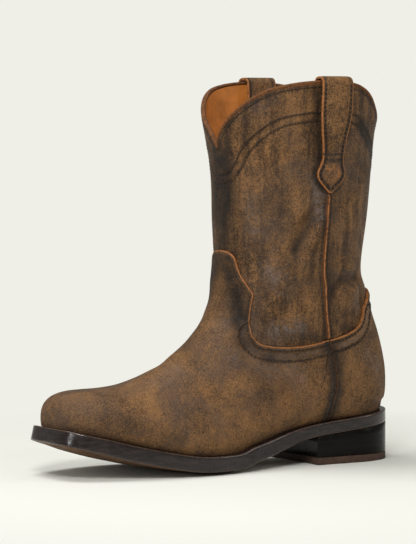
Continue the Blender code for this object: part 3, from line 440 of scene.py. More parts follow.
def spaced(table, count):
    """Points (around, row) evenly along a line on the upper, count steps apart from end to end."""
    table = np.array(table, float)
    known = run_along(on_upper(table[:, 1], table[:, 0]))
    fine = np.linspace(0, known[-1], FINE_STEPS * (len(table) - 1))
    around, row = (smooth(known, table[:, k], fine) for k in (0, 1))
    arc = run_along(on_upper(row, around))
    return read(np.stack([around, row], axis=1), arc, np.linspace(0, arc[-1], count + 1))


def meeting_line(shift):
    """Points (around, row) down the line where vamp and counter meet, moved by shift towards the toe."""
    tried = np.linspace(ANKLE_ROW, TOE_ROW, 3 * FINE)
    row, around = np.meshgrid(tried, np.linspace(0, 0.5, 2 * FINE), indexing="ij")
    places = on_upper(row, around)
    line = [(VAMP_EDGE[0][0] + shift / SHAFT_LENGTH / 2, VAMP_EDGE[0][1])]
    known = np.arange(len(MEETING))
    fine = np.linspace(0, len(MEETING) - 1, MEETING_POINTS)
    alongs, ups = smooth(known, MEETING_ALONG, fine), smooth(known, MEETING_UP, fine)
    for along, up in list(zip(alongs, ups))[1:-1]:
        miss = (places[..., 1] - y_at(along) + shift) ** 2 + (places[..., 2] - up * INSTEP_HEIGHT) ** 2
        best = np.unravel_index(np.argmin(miss), miss.shape)
        line.append((around[best], row[best]))
    edge_y = ROWS[HEEL_ROW : TOE_ROW + 1, 2]
    end = np.interp(shift - float(y_at(alongs[-1])), -edge_y, np.arange(HEEL_ROW, TOE_ROW + 1))
    return np.array([point for point in line if point[1] < end or point[0] > 0.01] + [(0.0, end)])


def patch(top, bottom, front, back):
    """A grid (around, row) filled in between four lines that meet at their ends."""
    s = np.linspace(0, 1, len(top))[None, :, None]
    t = np.linspace(0, 1, len(front))[:, None, None]
    grid = (1 - t) * top[None] + t * bottom[None] + (1 - s) * front[:, None] + s * back[:, None]
    return grid - (1 - t) * ((1 - s) * top[0] + s * top[-1]) - t * ((1 - s) * bottom[0] + s * bottom[-1])


def other_side(line):
    """The same places (around, row) on the boot's other side."""
    return line * (-1, 1) + (1, 0)


def mirrored(line):
    """A line (around, row) carried on over the ridge to the inner side."""
    return np.concatenate([line, other_side(line[::-1][1:])])


def sheared(y, z):
    """Where a point of the sole's outline at height z goes when the sole's edge leans."""
    return y + lean_at(y) * (z - welt_top(y))


def sole_edge(count):
    """The sole's own outline, as wide as the welt."""
    return plan(*(reach + OVERLAY for reach in (WELT_REACH_HEEL, WELT_REACH_BALL, WELT_REACH_TOE)), count)


def oval_girth(length, width):
    """Length once round an oval."""
    return 2 * math.pi * math.sqrt((length**2 + width**2) / 8)


def row_at_height(z):
    """Section number at a height on the shaft."""
    fine = np.linspace(0, len(SHAFT) + 2, FINE)
    heights = smooth(ROW_NUMBERS, ROWS[:, 1], fine)
    return np.interp(-np.asarray(z), -heights, fine)


def strap_wide(down):
    """The strap's width at a share of its outer drop."""
    return float(smooth(STRAP_DOWN, STRAP_WIDE, down)) * STRAP_WIDTH


def strap_centre(share):
    """Where round the shaft the strap's middle is, at a share of its outer drop."""
    return STRAP_TOP_AROUND + (SEAM_AROUND - STRAP_TOP_AROUND) * share


def standoff(table, down):
    """How far the strap stands off at a share of its drop, as a share of the full standoff."""
    return max(0.0, float(smooth(*np.array(table).T, down)))


def strap_stations():
    """The strap's stations from its outer tip over the collar to its inner end: height, distance of its
    middle from the upper's outer face, and width. The second result is the height of the collar under it."""
    half = STRAP_THICKNESS / 2
    seat = GAP + SEAT_CLEARANCE + half
    crest = float(rim_height(np.array(STRAP_TOP_AROUND)))
    over_piping = (PIPING_WIDTH - UPPER_WALL) / 2 + STRAP_STANDOFF
    made = []
    for down in STRAP_DOWN_OUTER:
        offset = seat + standoff(STANDOFF_OUTER, down) * over_piping
        made.append((crest - down * STRAP_DROP, offset, strap_wide(down)))
    wide = strap_wide(0.0)
    reach = over_piping + GAP + half
    top = crest + GAP + PIPING_HEIGHT + GAP + half
    fold = [(along * STRAP_FOLD_RADIUS, up * STRAP_FOLD_RADIUS) for along, up in STRAP_FOLD]
    made += [(top - up, reach - along, wide) for along, up in fold]
    made.append((top, -UPPER_WALL / 2, wide))
    made += [(top - up, along - UPPER_WALL - reach, wide) for along, up in fold[::-1]]
    for down in STRAP_DOWN_INNER:
        offset = -UPPER_WALL - seat - standoff(STANDOFF_INNER, down) * over_piping
        made.append((crest - down * STRAP_INNER_DROP, offset, wide))
    return made, crest


# How finely the scene's own leather is meshed
MESH_AROUND = 240
SHAFT_ROWS = 150
FOOT_ROWS = 110
VAMP_ROWS = 96
SEAM_FINE = 44
SEAM_ROWS = 90
STRAP_ROWS = 170
# Number of the strap's middle column, which is also how many columns lie on each side of it
STRAP_MIDDLE = 12
EDGE_FINE = 60
TONGUE_FINE = 40
TONGUE_FINE_COLUMNS = 30
COUNTER_FINE_ROWS = 60
COUNTER_FINE_COLUMNS = 72
TOE_FINE = (0.9, 0.8, 0.7, 0.6, 0.5, 0.4, 0.3, 0.22, 0.15, 0.1, 0.06, 0.03, 0.01, 0.0)

# Leather edges and the lining
SHELL_LEATHER = 0.0014
LINING_GAP = 0.0001
EDGE_ROUND = 0.00025
# How a cut edge is rounded: share of the way from face to face, and of EDGE_ROUND that it stands out there
EDGE_PROFILE = ((0.0, 0.0), (0.12, 0.7), (0.3, 1.0), (0.7, 1.0), (1.0, 0.3))

# Stitches: length, pitch and thickness of the thread, and how far rows lie from the edges that they follow
STITCH_LENGTH = 0.0021
STITCH_PITCH = 0.0032
THREAD = 0.0011
THREAD_LIFT = 0.0002
EDGE_ROW_IN = 0.0024
SECOND_ROW_IN = 0.0102
TWIN_ROW = 0.0026
RIM_ROWS_IN = (0.0019, 0.0205, 0.0268)
# How many sections under the collar's edge its rows are looked for
DEEPEST_ROWS = 3.2
STRAP_ROW_IN = 0.0024
# How far under the strap's crest its middle row stops, and how far beside the seam strip its rows lie
STRAP_ROW_STOP = 0.004
BESIDE_SEAM = 0.0014
# The strap's sewn tab, as shares of its outer drop, and the wax rubbed along its fold
TAB_FROM = 0.72
TAB_TO = 0.93
TAB_FOLD_WAX = 0.8

# Creases and bulges of the leather, placed on the shoe: around and row where each starts, around and
# row where it ends, how far its middle swings towards higher around, metres into the leather, less than 0 for
# a bulge, and half width in metres
CREASES = (
    (0.266, 4.6, 0.308, 5.35, 0, 0.0034, 0.0046), (0.262, 5, 0.28, 5.6, 0, -0.0026, 0.0055),
    (0.262, 5.6, 0.25, 7.2, 0.004, 0.001, 0.005), (0.33, 6.2, 0.345, 7.2, 0, -0.0024, 0.012),
    (0.18, 7.2, 0.16, 8, 0, -0.0045, 0.0105), (0.216, 7.4, 0.19, 6.5, 0, 0.0026, 0.0045),
    (0.19, 6.5, 0.11, 6.35, 0.004, 0.0026, 0.0045), (0.122, 6.9, 0.112, 8.2, 0, 0.0014, 0.004),
    (0.455, 7.2, 0.425, 9.2, 0, 0.002, 0.005), (0.42, 10.6, 0.395, 11.6, 0, -0.0008, 0.006),
    (0.48, 8.6, 0.415, 9.2, 0.01, 0.001, 0.006), (0.12, 4.4, 0.17, 4.8, 0, 0.0009, 0.007),
    (0.38, 4.6, 0.41, 5.5, 0, 0.0009, 0.008), (0.73, 4.65, 0.694, 5.3, 0, 0.0018, 0.0048),
    (0.745, 6.2, 0.74, 7.6, 0.004, 0.0008, 0.0045), (0.8, 7, 0.89, 6.6, 0.01, 0.0014, 0.0055),
    (0.82, 7.6, 0.86, 7.8, 0, -0.0016, 0.011), (0.66, 5.2, 0.6, 6.6, 0.01, 0.0009, 0.008),
    (0.56, 7.6, 0.59, 9.1, 0, 0.001, 0.0055), (0.35, 15.5, 0.3, 17.5, 0.01, 0.0006, 0.007),
    (0.65, 15.2, 0.7, 17, 0.01, 0.0006, 0.007), (0.42, 16.4, 0.58, 16.6, 0, 0.0005, 0.006),
)

# Camera, solved on the photograph. CAMERA_ANGLE: degrees that it stands round from the boot's outer side
# towards the toe
CAMERA_DISTANCE = 2.3015
CAMERA_ANGLE = 34.0
CAMERA_HEIGHT = 0.260
PHOTO_FOCAL = 2268.0
PHOTO_CENTRE = (330.0, 224.0)
PHOTO_AIM = (235.0, 341.0)
FRAME_GAIN = 1.34
PHOTO_LONG_SIDE = 544


def lerp(a, b, t):
    return a + (b - a) * t


def base_surface(rows, around):
    """Points and outward normals of the upper's outer face at section numbers and shares around."""
    rows, around = np.broadcast_arrays(np.asarray(rows, float), np.asarray(around, float))
    r = np.clip(rows, 0, LAST_ROW) * MASTER_STEPS
    a = np.clip(around, 0, 1) * MASTER_AROUND
    i = np.minimum(r.astype(int), len(NUMBERS) - 2)
    j = np.minimum(a.astype(int), MASTER_AROUND - 1)
    u, w = (r - i)[..., None], (a - j)[..., None]
    made = []
    for grid in (POINTS, NORMALS):
        upper = lerp(grid[i, j], grid[i, j + 1], w)
        lower = lerp(grid[i + 1, j], grid[i + 1, j + 1], w)
        made.append(lerp(upper, lower, u))
    point, normal = made
    lift = np.clip((point[..., 2] - welt_top(point[..., 1]) - GAP) / FLARE, 0, 1)
    normal[..., 2] = np.where(normal[..., 2] < 0, normal[..., 2] * lift, normal[..., 2])
    return point, unit(normal)


def distance(points, line):
    """Shortest distance from each point to a line of points, and the share of the line where it is."""
    flat = points.reshape(-1, 3)
    best = np.full(len(flat), 1e9)
    share = np.zeros(len(flat))
    for k, (a, b) in enumerate(zip(line, line[1:])):
        run = b - a
        t = np.clip((flat - a) @ run / max(run @ run, 1e-12), 0, 1)
        d = np.linalg.norm(flat - (a + t[:, None] * run), axis=1)
        nearer = d < best
        best[nearer] = d[nearer]
        share[nearer] = (k + t[nearer]) / (len(line) - 1)
    return best.reshape(points.shape[:-1]), share.reshape(points.shape[:-1])


def crease_lines():
    """Each crease as a line of points on the upper, with its depth and width."""
    t = np.linspace(0, 1, 9)
    for around, row, to_around, to_row, bow, depth, width in CREASES:
        places = lerp(around, to_around, t) + bow * 4 * t * (1 - t)
        yield base_surface(lerp(row, to_row, t), places)[0], depth, width


CREASE_LINES = list(crease_lines())


def relief(points):
    """How far creases and bulges move the leather at each point."""
    total = np.zeros(points.shape[:-1])
    for line, depth, width in CREASE_LINES:
        near, share = distance(points, line)
        ends = np.sin(np.pi * np.clip(share, 0.02, 0.98)) ** 0.5
        total -= depth * ends * np.exp(-((near / width) ** 2))
        if depth > 0:
            total += 0.3 * depth * ends * np.exp(-(((near - 2 * width) / width) ** 2))
    return total


def place(rows, around, offset=0.0):
    """Points of the creased leather, moved outwards by offset, and never under the welt's top."""
    point, normal = base_surface(rows, around)
    fade = np.clip((point[..., 2] - welt_top(point[..., 1])) / (2 * FLARE), 0, 1)
    out = np.asarray(offset, float) + relief(point) * fade
    point = point + normal * out[..., None]
    point[..., 2] = np.maximum(point[..., 2], welt_top(point[..., 1]) + GAP)
    return point


def laid(grid, offset=OVERLAY):
    """Places (around, row) on the creased leather as points, as far out as the overlays or by offset."""
    return place(grid[..., 1], grid[..., 0], offset)


def on_upper(rows, around, offset=0.0):
    """Points of the plain surface without creases, for measuring lines on it."""
    point, normal = base_surface(rows, around)
    return point + normal * np.asarray(offset, float)[..., None]


# Values kept at each point of the leather: distance from its stitched edges, distance from the edges that its
# second row follows, dark wax with painted shade, wear with painted sheen, and distance from its bare cut
# edge.
# Points closer than WELD become one
VALUE_NAMES = ("edge_mm", "side_mm", "wax_and_shade", "worn", "cut_mm")
FAR_MM = 99.0
WELD = 2e-6


def add_object(name, mesh, slot_name, replaced=()):
    """Puts a smooth mesh in the scene, riding on the boot, in place of the replaced nodes."""
    mesh.shade_smooth()
    made = bpy.data.objects.new(name, mesh)
    bpy.context.scene.collection.objects.link(made)
    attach(made, "root")
    if replaced:
        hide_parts(*replaced)
    return made


class Shape:
    """Grids and rings of points that become one mesh, with a material for each and named values for each
    point."""

    def __init__(self):
        self.points, self.faces, self.slots, self.values = [], [], [], []
        self.count = 0

    def add(self, points, faces, slot, values):
        if values is None:
            values = np.zeros((len(points), len(VALUE_NAMES)))
            values[:, -1] = FAR_MM
        self.points.append(points)
        self.values.append(values)
        self.faces += faces
        self.slots += [slot] * len(faces)
        self.count += len(points)

    def grid(self, points, slot=0, flip=False, closed=False, values=None):
        """Adds a grid of quads. closed joins its last column to its first."""
        rows, cols = points.shape[:2]
        ids = self.count + np.arange(rows * cols).reshape(rows, cols)
        if closed:
            ids = np.concatenate([ids, ids[:, :1]], axis=1)
        quads = np.stack([ids[:-1, :-1], ids[1:, :-1], ids[1:, 1:], ids[:-1, 1:]], axis=-1).reshape(-1, 4)
        quads = quads[:, ::-1] if flip else quads
        if values is not None:
            values = values.reshape(-1, len(VALUE_NAMES))
        self.add(points.reshape(-1, 3), quads.tolist(), slot, values)

    def fan(self, ring, slot, flip=False):
        """Closes a ring of points with triangles to its middle."""
        n = len(ring)
        tris = [[self.count + k, self.count + (k + 1) % n, self.count + n] for k in range(n)]
        points = np.concatenate([ring, [ring.mean(axis=0)]])
        self.add(points, [t[::-1] if flip else t for t in tris], slot, None)

    def object(self, name, materials, slot_name, replaced=()):
        """Welds the points and makes the mesh object."""
        points, values = np.concatenate(self.points), np.concatenate(self.values)
        _, first, same = np.unique(np.round(points / WELD), axis=0, return_index=True, return_inverse=True)
        same = same.reshape(-1)
        faces, slots = [], []
        for face, slot in zip(self.faces, self.slots):
            corners = list(dict.fromkeys(same[face].tolist()))
            if len(corners) > 2:
                faces.append(corners)
                slots.append(slot)
        mesh = bpy.data.meshes.new(name)
        mesh.from_pydata(points[first].tolist(), [], faces)
        for material in materials:
            mesh.materials.append(material)
        mesh.polygons.foreach_set("material_index", slots)
        for k, value in enumerate(VALUE_NAMES):
            mesh.attributes.new(value, "FLOAT", "POINT").data.foreach_set("value", values[first, k])
        return add_object(name, mesh, slot_name, replaced)


def edge_strip(shape, outer, inner, next_in, slot, flip=False):
    """Adds a rounded cut edge between the outer and the inner points of one side of a plate. next_in: the
    outer face's points one step further in."""
    outwards = unit(outer - next_in)
    rings = [outer + (inner - outer) * t + outwards * EDGE_ROUND * out for t, out in EDGE_PROFILE]
    shape.grid(np.array(rings), slot, flip)


def edge_strips(shape, top, low, sides, slots=(0, 1), flip=False):
    """Adds cut edges on the sides that are asked for: first row, last row, first column, last column."""
    lines = [(face[0], face[-1], face[:, 0], face[:, -1]) for face in (top, low)]
    next_in = (top[1], top[-2], top[:, 1], top[:, -2])
    for k in range(4):
        if sides[k]:
            slot = slots[-1] if k == 2 else slots[1]
            edge_strip(shape, lines[0][k], lines[1][k], next_in[k], slot, flip != (k in (0, 3)))


def plate(shape, grid, outer, inner, sides, values=None, slots=(0, 1), shown=(True, True)):
    """A piece of leather over places (around, row) between two offsets from the upper, with cut edges. shown:
    whether its outer and its inner face are made."""
    top, low = laid(grid, outer), laid(grid, inner)
    if shown[0]:
        shape.grid(top, slots[0], values=values)
    if shown[1]:
        shape.grid(low, slots[0], flip=True)
    edge_strips(shape, top, low, sides, slots)
    return top


def near_edge(points, *lines):
    """Distance from the nearest of some lines, in millimetres."""
    return 1000 * np.min([distance(points, line)[0] for line in lines], axis=0)


def thinned(line, count=90):
    """The same line with about count points."""
    return line[np.unique(np.linspace(0, len(line) - 1, count).round().astype(int))]


def fine_toe_rows():
    return [*np.linspace(TOE_ROW, LAST_ROW - 1, 22), *(LAST_ROW - share for share in TOE_FINE)]


def upper_rows(around):
    """Section numbers of the whole upper, from the collar's edge to the toe."""
    rim = rim_row(around)
    seat = spaced([(0.0, row) for row in range(HEEL_ROW, TOE_ROW + 1)], FOOT_ROWS)[:-1, 1]
    trunk = spaced([(0.0, row) for row in range(RIM_ROW, HEEL_ROW + 1)], SHAFT_ROWS)[:-1, 1]
    rows = [rim + (RIM_ROW - rim) * share for share in np.linspace(0, 1, 24)[:-1]]
    rows += [np.full(len(around), number) for number in (*trunk, *seat, *fine_toe_rows())]
    return np.array(rows)


# Dark lines of rubbed-in dark wax, and of painted shade where creases, dents and troughs are: around and row
# where each dark line starts and where it ends, width in metres, and strength up to 1
DARK_SHAFT = (
    (0.245, 3.5, 0.226, 9.87, 0.005, 0.8), (0.755, 3.5, 0.774, 9.87, 0.005, 0.8),
    (0.49, 2.8, 0.485, 4.4, 0.01, 0.97), (0.51, 2.8, 0.515, 4.4, 0.01, 0.97),
    # The shaft's lines from here on are mostly painted shade: down the front ankle's trough, in the dents,
    # along the creases over the back bulges and beside the vamp's edge; the lines above are dark wax along the
    # seams and the front's V
    (0.5, 4.4, 0.5, 6.2, 0.017, 0.85), (0.28, 4.95, 0.318, 5.6, 0.0042, 0.88),
    (0.718, 5, 0.686, 5.5, 0.0035, 0.7), (0.218, 7.3, 0.192, 6.5, 0.0038, 0.8),
    (0.192, 6.5, 0.12, 6.35, 0.0038, 0.65), (0.12, 6.9, 0.11, 8, 0.004, 0.6),
    (0.2, 8.8, 0.15, 9.4, 0.005, 0.5), (0.782, 7.3, 0.808, 6.5, 0.004, 0.7),
    (0.808, 6.5, 0.88, 6.35, 0.004, 0.55), (0.33, 9.8, 0.25, 9.8, 0.004, 0.45),
    (0.38, 8.3, 0.37, 10.2, 0.004, 0.5), (0.06, 4.5, 0.06, 6.2, 0.009, 0.45),
    (0.94, 4.5, 0.94, 6.2, 0.009, 0.45),
)
DARK_VAMP = (
    # Down the throat the dark wax is deepened by painted shade in its trough; the other vamp lines are dark
    # wax
    (0.475, 5.9, 0.445, 7.6, 0.011, 0.97), (0.525, 5.9, 0.555, 7.6, 0.011, 0.97),
    (0.445, 7.6, 0.428, 9, 0.007, 0.95), (0.555, 7.6, 0.572, 9, 0.007, 0.95),
    (0.428, 9, 0.408, 10.8, 0.0055, 0.92), (0.572, 9, 0.592, 10.8, 0.0055, 0.92),
    (0.408, 10.8, 0.345, 12, 0.005, 0.75), (0.592, 10.8, 0.655, 12, 0.005, 0.75),
    (0.345, 12, 0.235, 10.9, 0.005, 0.5), (0.655, 12, 0.765, 10.9, 0.005, 0.5),
    (0.38, 13.8, 0.33, 14.6, 0.01, 0.45), (0.25, 15.6, 0.23, 16.8, 0.008, 0.45),
    (0.5, 12.2, 0.47, 13.8, 0.009, 0.35), (0.08, 20.6, 0.14, 22.2, 0.005, 0.35),
)
DARK_COUNTER = (
    (0.12, 9.4, 0.04, 8.8, 0.006, 0.55), (0.88, 9.4, 0.96, 8.8, 0.006, 0.55),
    (0.06, 11, 0, 11.6, 0.009, 0.35),
)

# Worn wax with painted sheen: greyer, smoother leather, in the same columns
WORN_SHEEN_SHAFT = (
    (0.274, 3.6, 0.262, 4.9, 0.006, 0.85), (0.355, 9.6, 0.3, 9.2, 0.006, 0.85),
    (0.375, 6.1, 0.35, 6.9, 0.007, 0.6), (0.15, 7.2, 0.14, 7.8, 0.005, 0.45),
    (0.42, 4.3, 0.41, 5.2, 0.006, 0.4), (0.726, 3.6, 0.738, 4.9, 0.006, 0.85),
    (0.645, 9.6, 0.7, 9.2, 0.006, 0.8), (0.67, 6.3, 0.67, 7.1, 0.008, 0.5),
    (0.87, 5.1, 0.85, 5.6, 0.008, 0.5),
)
WORN_SHEEN_VAMP = (
    (0.4, 13.2, 0.33, 13.6, 0.008, 0.45), (0.3, 12.6, 0.27, 13.2, 0.007, 0.45),
    (0.6, 13.2, 0.67, 13.6, 0.008, 0.45), (0.45, 17, 0.42, 18.6, 0.008, 0.35),
)
WORN_SHEEN_COUNTER = (
    (0.12, 10.6, 0.09, 11.2, 0.007, 0.45), (0.88, 10.6, 0.91, 11.2, 0.007, 0.45),
)
# Width and strength of the dark wax along the seams and the collar's edge, of the painted shade in the channel
# under it between two shares around, and of the painted shadow along the straps' front edges. The last: how
# far in front of the strap the painted shadow lies
SEAM_WAX = (0.0080, 0.93)
RIM_WAX = (0.0030, 0.45)
CHANNEL_SHADE = (0.0045, 0.95)
CHANNEL_SHADE_ENDS = ((0.03, 0.17), (0.83, 0.97))
STRAP_SHADOW = (0.0034, 0.97)
STRAP_SHADOW_IN = 0.0012
# Height over which the painted shade in the crevice where the upper meets the welt fades, and its strength
WELT_DARK = 0.0060
WELT_STRENGTH = 0.6


def dark_lines(table):
    """Each line of a table as points on the upper, with its width and strength."""
    t = np.linspace(0, 1, 8)
    for around, row, to_around, to_row, width, strength in table:
        yield base_surface(lerp(row, to_row, t), lerp(around, to_around, t))[0], width, strength


def darkness(points, table, extra=()):
    """How much dark wax and painted shade lie at each point: the lines' wax and shade, and painted shade where
    the upper meets the welt. extra: more lines of points, each with its width and strength.
    """
    clear = np.ones(points.shape[:-1])
    for line, width, strength in (*dark_lines(table), *extra):
        clear *= 1 - strength * np.exp(-((distance(points, line)[0] / width) ** 2))
    # Painted shade, darkest at the welt, where the upper meets it
    above = (points[..., 2] - welt_top(points[..., 1])) / WELT_DARK
    return 1 - clear * (1 - WELT_STRENGTH * np.exp(-np.clip(above, 0, 50)))


def wear_and_sheen(points, table):
    """How much greyer and smoother the leather is at each point: worn wax with painted sheen."""
    most = np.zeros(points.shape[:-1])
    for line, width, strength in dark_lines(table):
        most = np.maximum(most, strength * np.exp(-((distance(points, line)[0] / width) ** 2)))
    return most


def valued(edge, side, dark, worn=0.0, cut=FAR_MM):
    return np.stack(np.broadcast_arrays(edge, side, dark, worn, cut), axis=-1)


def make_shell(leather, raw, lining):
    """The upper's outer leather and its lining, each with a cut edge at the collar."""
    around = np.linspace(0, 1, MESH_AROUND + 1)
    grid = np.stack(np.broadcast_arrays(around, upper_rows(around)), axis=-1)
    outer = laid(grid, 0.0)
    rim = thinned(outer[0])
    extra = [(rim, *RIM_WAX)]
    # Painted shade in the channel under the collar at the back, and painted shadow beside each strap's front
    # edge
    for ends in CHANNEL_SHADE_ENDS:
        extra.append((thinned(below_rim(sum(RIM_ROWS_IN[1:]) / 2, *ends), 30), *CHANNEL_SHADE))
    for mirror in (False, True):
        extra.append((beside_strap(mirror), *STRAP_SHADOW))
    edge = near_edge(outer, rim)
    values = valued(edge, edge, darkness(outer, DARK_SHAFT, extra), wear_and_sheen(outer, WORN_SHEEN_SHAFT))
    rim_only = (True, False, False, False)
    shape = Shape()
    plate(shape, grid, 0.0, -SHELL_LEATHER, rim_only, values, shown=(True, False))
    shell = shape.object("upper_leather", [leather, raw], "waxed_leather", ["upper"])
    shape = Shape()
    plate(shape, grid, -SHELL_LEATHER - LINING_GAP, -UPPER_WALL, rim_only, shown=(False, True))
    shape.object("upper_lining", [lining, raw], "lining_leather")
    return shell


def beside_strap(mirror):
    """A line on the shaft along the front edge of a pull strap, where its shadow is painted on."""
    stations, crest = strap_stations()
    line = []
    for z, _, wide in stations[: len(STRAP_DOWN_OUTER)]:
        around = strap_centre(min(max((crest - z) / STRAP_DROP, 0), 1))
        around += (wide / 2 + STRAP_SHADOW_IN) / oval_girth(SHAFT_LENGTH, SHAFT_WIDTH)
        line.append(on_upper(row_at_height(min(z, SHAFT_HEIGHT)), 1 - around if mirror else around))
    return np.array(line)


def rim_frames(around):
    """Middle points, outward and upward directions of the collar's edge."""
    rows = rim_row(around)
    outer, inner = place(rows, around, 0.0), place(rows, around, -UPPER_WALL)
    middle = (outer + inner) / 2
    out = unit(outer - inner)
    up = np.cross(unit(np.roll(middle, -1, axis=0) - np.roll(middle, 1, axis=0)), out)
    return middle, out, up * np.sign(up[:, 2:3])


def make_piping(leather):
    """The rolled bead on the collar's edge."""
    middle, out, up = rim_frames(np.linspace(0, 1, 2 * MESH_AROUND + 1)[:-1])
    rings = []
    for angle in np.linspace(0, 2 * math.pi, 17):
        across, above = (math.copysign(abs(s) ** 0.8, s) / 2 for s in (math.cos(angle), math.sin(angle)))
        height = above * PIPING_HEIGHT + PIPING_HEIGHT / 2 + GAP / 2
        rings.append(middle + out * across * PIPING_WIDTH + up * height)
    shape = Shape()
    shape.grid(np.array(rings), closed=True)
    return shape.object("collar_piping", [leather], "raw_edge_leather", ["top_piping"])


def make_vamp(leather, raw, waxed_edge):
    """The vamp with its tongue, cut edges and soft relief. The second result is the lines that its stitches
    follow: the edge with the tongue's side, the edge alone, and the seam."""
    line = meeting_line(SEAM_GAP)
    edge = np.array(VAMP_EDGE, float)
    edge[0] = line[0]
    seam = spaced(line[::-1], SEAM_FINE)
    side = spaced(edge[: VAMP_CORNER + 1], EDGE_FINE)
    tongue_side = spaced(edge[VAMP_CORNER : TONGUE_CORNER + 1], TONGUE_FINE)
    tongue_top = mirrored(spaced(edge[TONGUE_CORNER:], TONGUE_FINE_COLUMNS // 2))
    base = np.linspace(side[-1], other_side(side[-1]), len(tongue_top))
    tongue = patch(tongue_top, base, tongue_side[::-1], other_side(tongue_side)[::-1])
    lateral = np.concatenate([seam, side[1:]])
    start = np.concatenate([lateral, base[1:-1], other_side(lateral)[::-1]])
    even = np.linspace(0, 1, len(start))
    body = []
    for step in np.linspace(0, 1, VAMP_ROWS + 1)[:-1]:
        around = start[:, 0] + (even - start[:, 0]) * (3 * step**2 - 2 * step**3)
        body.append(np.stack([around, start[:, 1] + (TOE_ROW - start[:, 1]) * step], axis=-1))
    body += [np.stack([even, np.full(len(start), number)], axis=-1) for number in fine_toe_rows()]

    parts = (seam, side, tongue_side)
    edges = [thinned(laid(part), 30) for part in (*parts, *map(other_side, parts), tongue_top)]
    dark = [(edges[0], *SEAM_WAX), (edges[3], *SEAM_WAX)]
    shape = Shape()
    for grid, free in ((np.array(body), False), (tongue, True)):
        points = laid(grid)
        # The darkness here is dark wax with painted shade; the wear is worn wax with painted sheen
        darkened, worn = darkness(points, DARK_VAMP, dark), wear_and_sheen(points, WORN_SHEEN_VAMP)
        bare = near_edge(points, *(edges[k] for k in (1, 2, 4, 5, 6)))
        values = valued(near_edge(points, *edges), near_edge(points, edges[1], edges[4]), darkened, worn, bare)
        top = plate(shape, grid, OVERLAY, GAP, (free, False, free, free), values)
        if not free:
            low = laid(grid[0], GAP)
            sewn, count = len(seam), len(lateral)
            ends = ((0, sewn, 2), (sewn - 1, count, 1), (-count, -sewn + 1, 1), (-sewn, None, 2))
            for first, last, slot in ends:
                part = slice(first, last)
                edge_strip(shape, top[0][part], low[part], top[1][part], slot, flip=True)
    made = shape.object("vamp_leather", [leather, raw, waxed_edge], "waxed_leather", ["vamp"])
    return made, (np.concatenate([side, tongue_side[1:]]), side, seam)


def make_counter(leather, raw, waxed_edge):
    """The counter round the heel, with its cut edges. The second result is its top line."""
    line = meeting_line(-SEAM_GAP)
    edge = np.array(COUNTER_EDGE, float)
    edge[0] = line[0]
    top = spaced(edge, COUNTER_FINE_COLUMNS)
    bottom = spaced([(0.0, row) for row in np.linspace(line[-1][1], HEEL_ROW, 40)], COUNTER_FINE_COLUMNS)
    front = spaced(line, COUNTER_FINE_ROWS)
    back = spaced([(0.0, row) for row in np.linspace(edge[-1][1], HEEL_ROW, 12)], COUNTER_FINE_ROWS)
    grid = patch(top, bottom, front, back)
    sides = (grid, other_side(grid))
    seams = [thinned(laid(g[:, 0]), 30) for g in sides]
    tops = [thinned(laid(g[0]), 40) for g in sides]
    dark = [(seam, *SEAM_WAX) for seam in seams]
    shape = Shape()
    for g in sides:
        points = laid(g)
        # The darkness here is dark wax with painted shade; the wear is worn wax with painted sheen
        darkened, worn = darkness(points, DARK_COUNTER, dark), wear_and_sheen(points, WORN_SHEEN_COUNTER)
        side = near_edge(points, *tops)
        values = valued(near_edge(points, *seams, *tops), side, darkened, worn, side)
        plate(shape, g, OVERLAY, GAP, (True, False, True, False), values, (0, 1, 2))
    return shape.object("counter_leather", [leather, raw, waxed_edge], "waxed_leather", ["counter"]), top


def side_seam(start, count):
    """Rows down the outer side seam, from start below the strap's tip to the vamp, and where it runs."""
    top = float(row_at_height(SHAFT_HEIGHT - STRAP_DROP - 2 * GAP))
    down = np.linspace(top + start, VAMP_EDGE[0][1] - SEAM_END, count)
    return down, SEAM_AROUND + (VAMP_EDGE[0][0] - SEAM_AROUND) * ((down - top) / (down[-1] - top)) ** 2


def make_seam_strip(name, side, replaced, materials):
    """A rounded strip along a side seam of the shaft, bare along its crest."""
    down, centre = side_seam(0, SEAM_ROWS)
    half = SEAM_STRIP_WIDTH / 2 / oval_girth(ANKLE_LENGTH, ANKLE_WIDTH)
    turn = np.linspace(0, math.pi, 11)
    around = centre[:, None] - half * np.cos(turn)[None]
    from_end = np.minimum(np.arange(SEAM_ROWS), np.arange(SEAM_ROWS)[::-1])[:, None]
    lift = GAP * 0.3 + SEAM_STRIP_HEIGHT * np.sin(turn)[None] ** 0.7 * np.minimum(1, from_end / 2)
    points = place(np.stack([down] * len(turn), axis=1), 1 - around if side else around, lift)
    shape = Shape()
    for first, last, slot in ((0, 4, 0), (4, 6, 1), (6, 10, 0)):
        shape.grid(points[:, first : last + 1], slot, flip=bool(side))
    return shape.object(name, materials, "raw_edge_leather", [replaced])


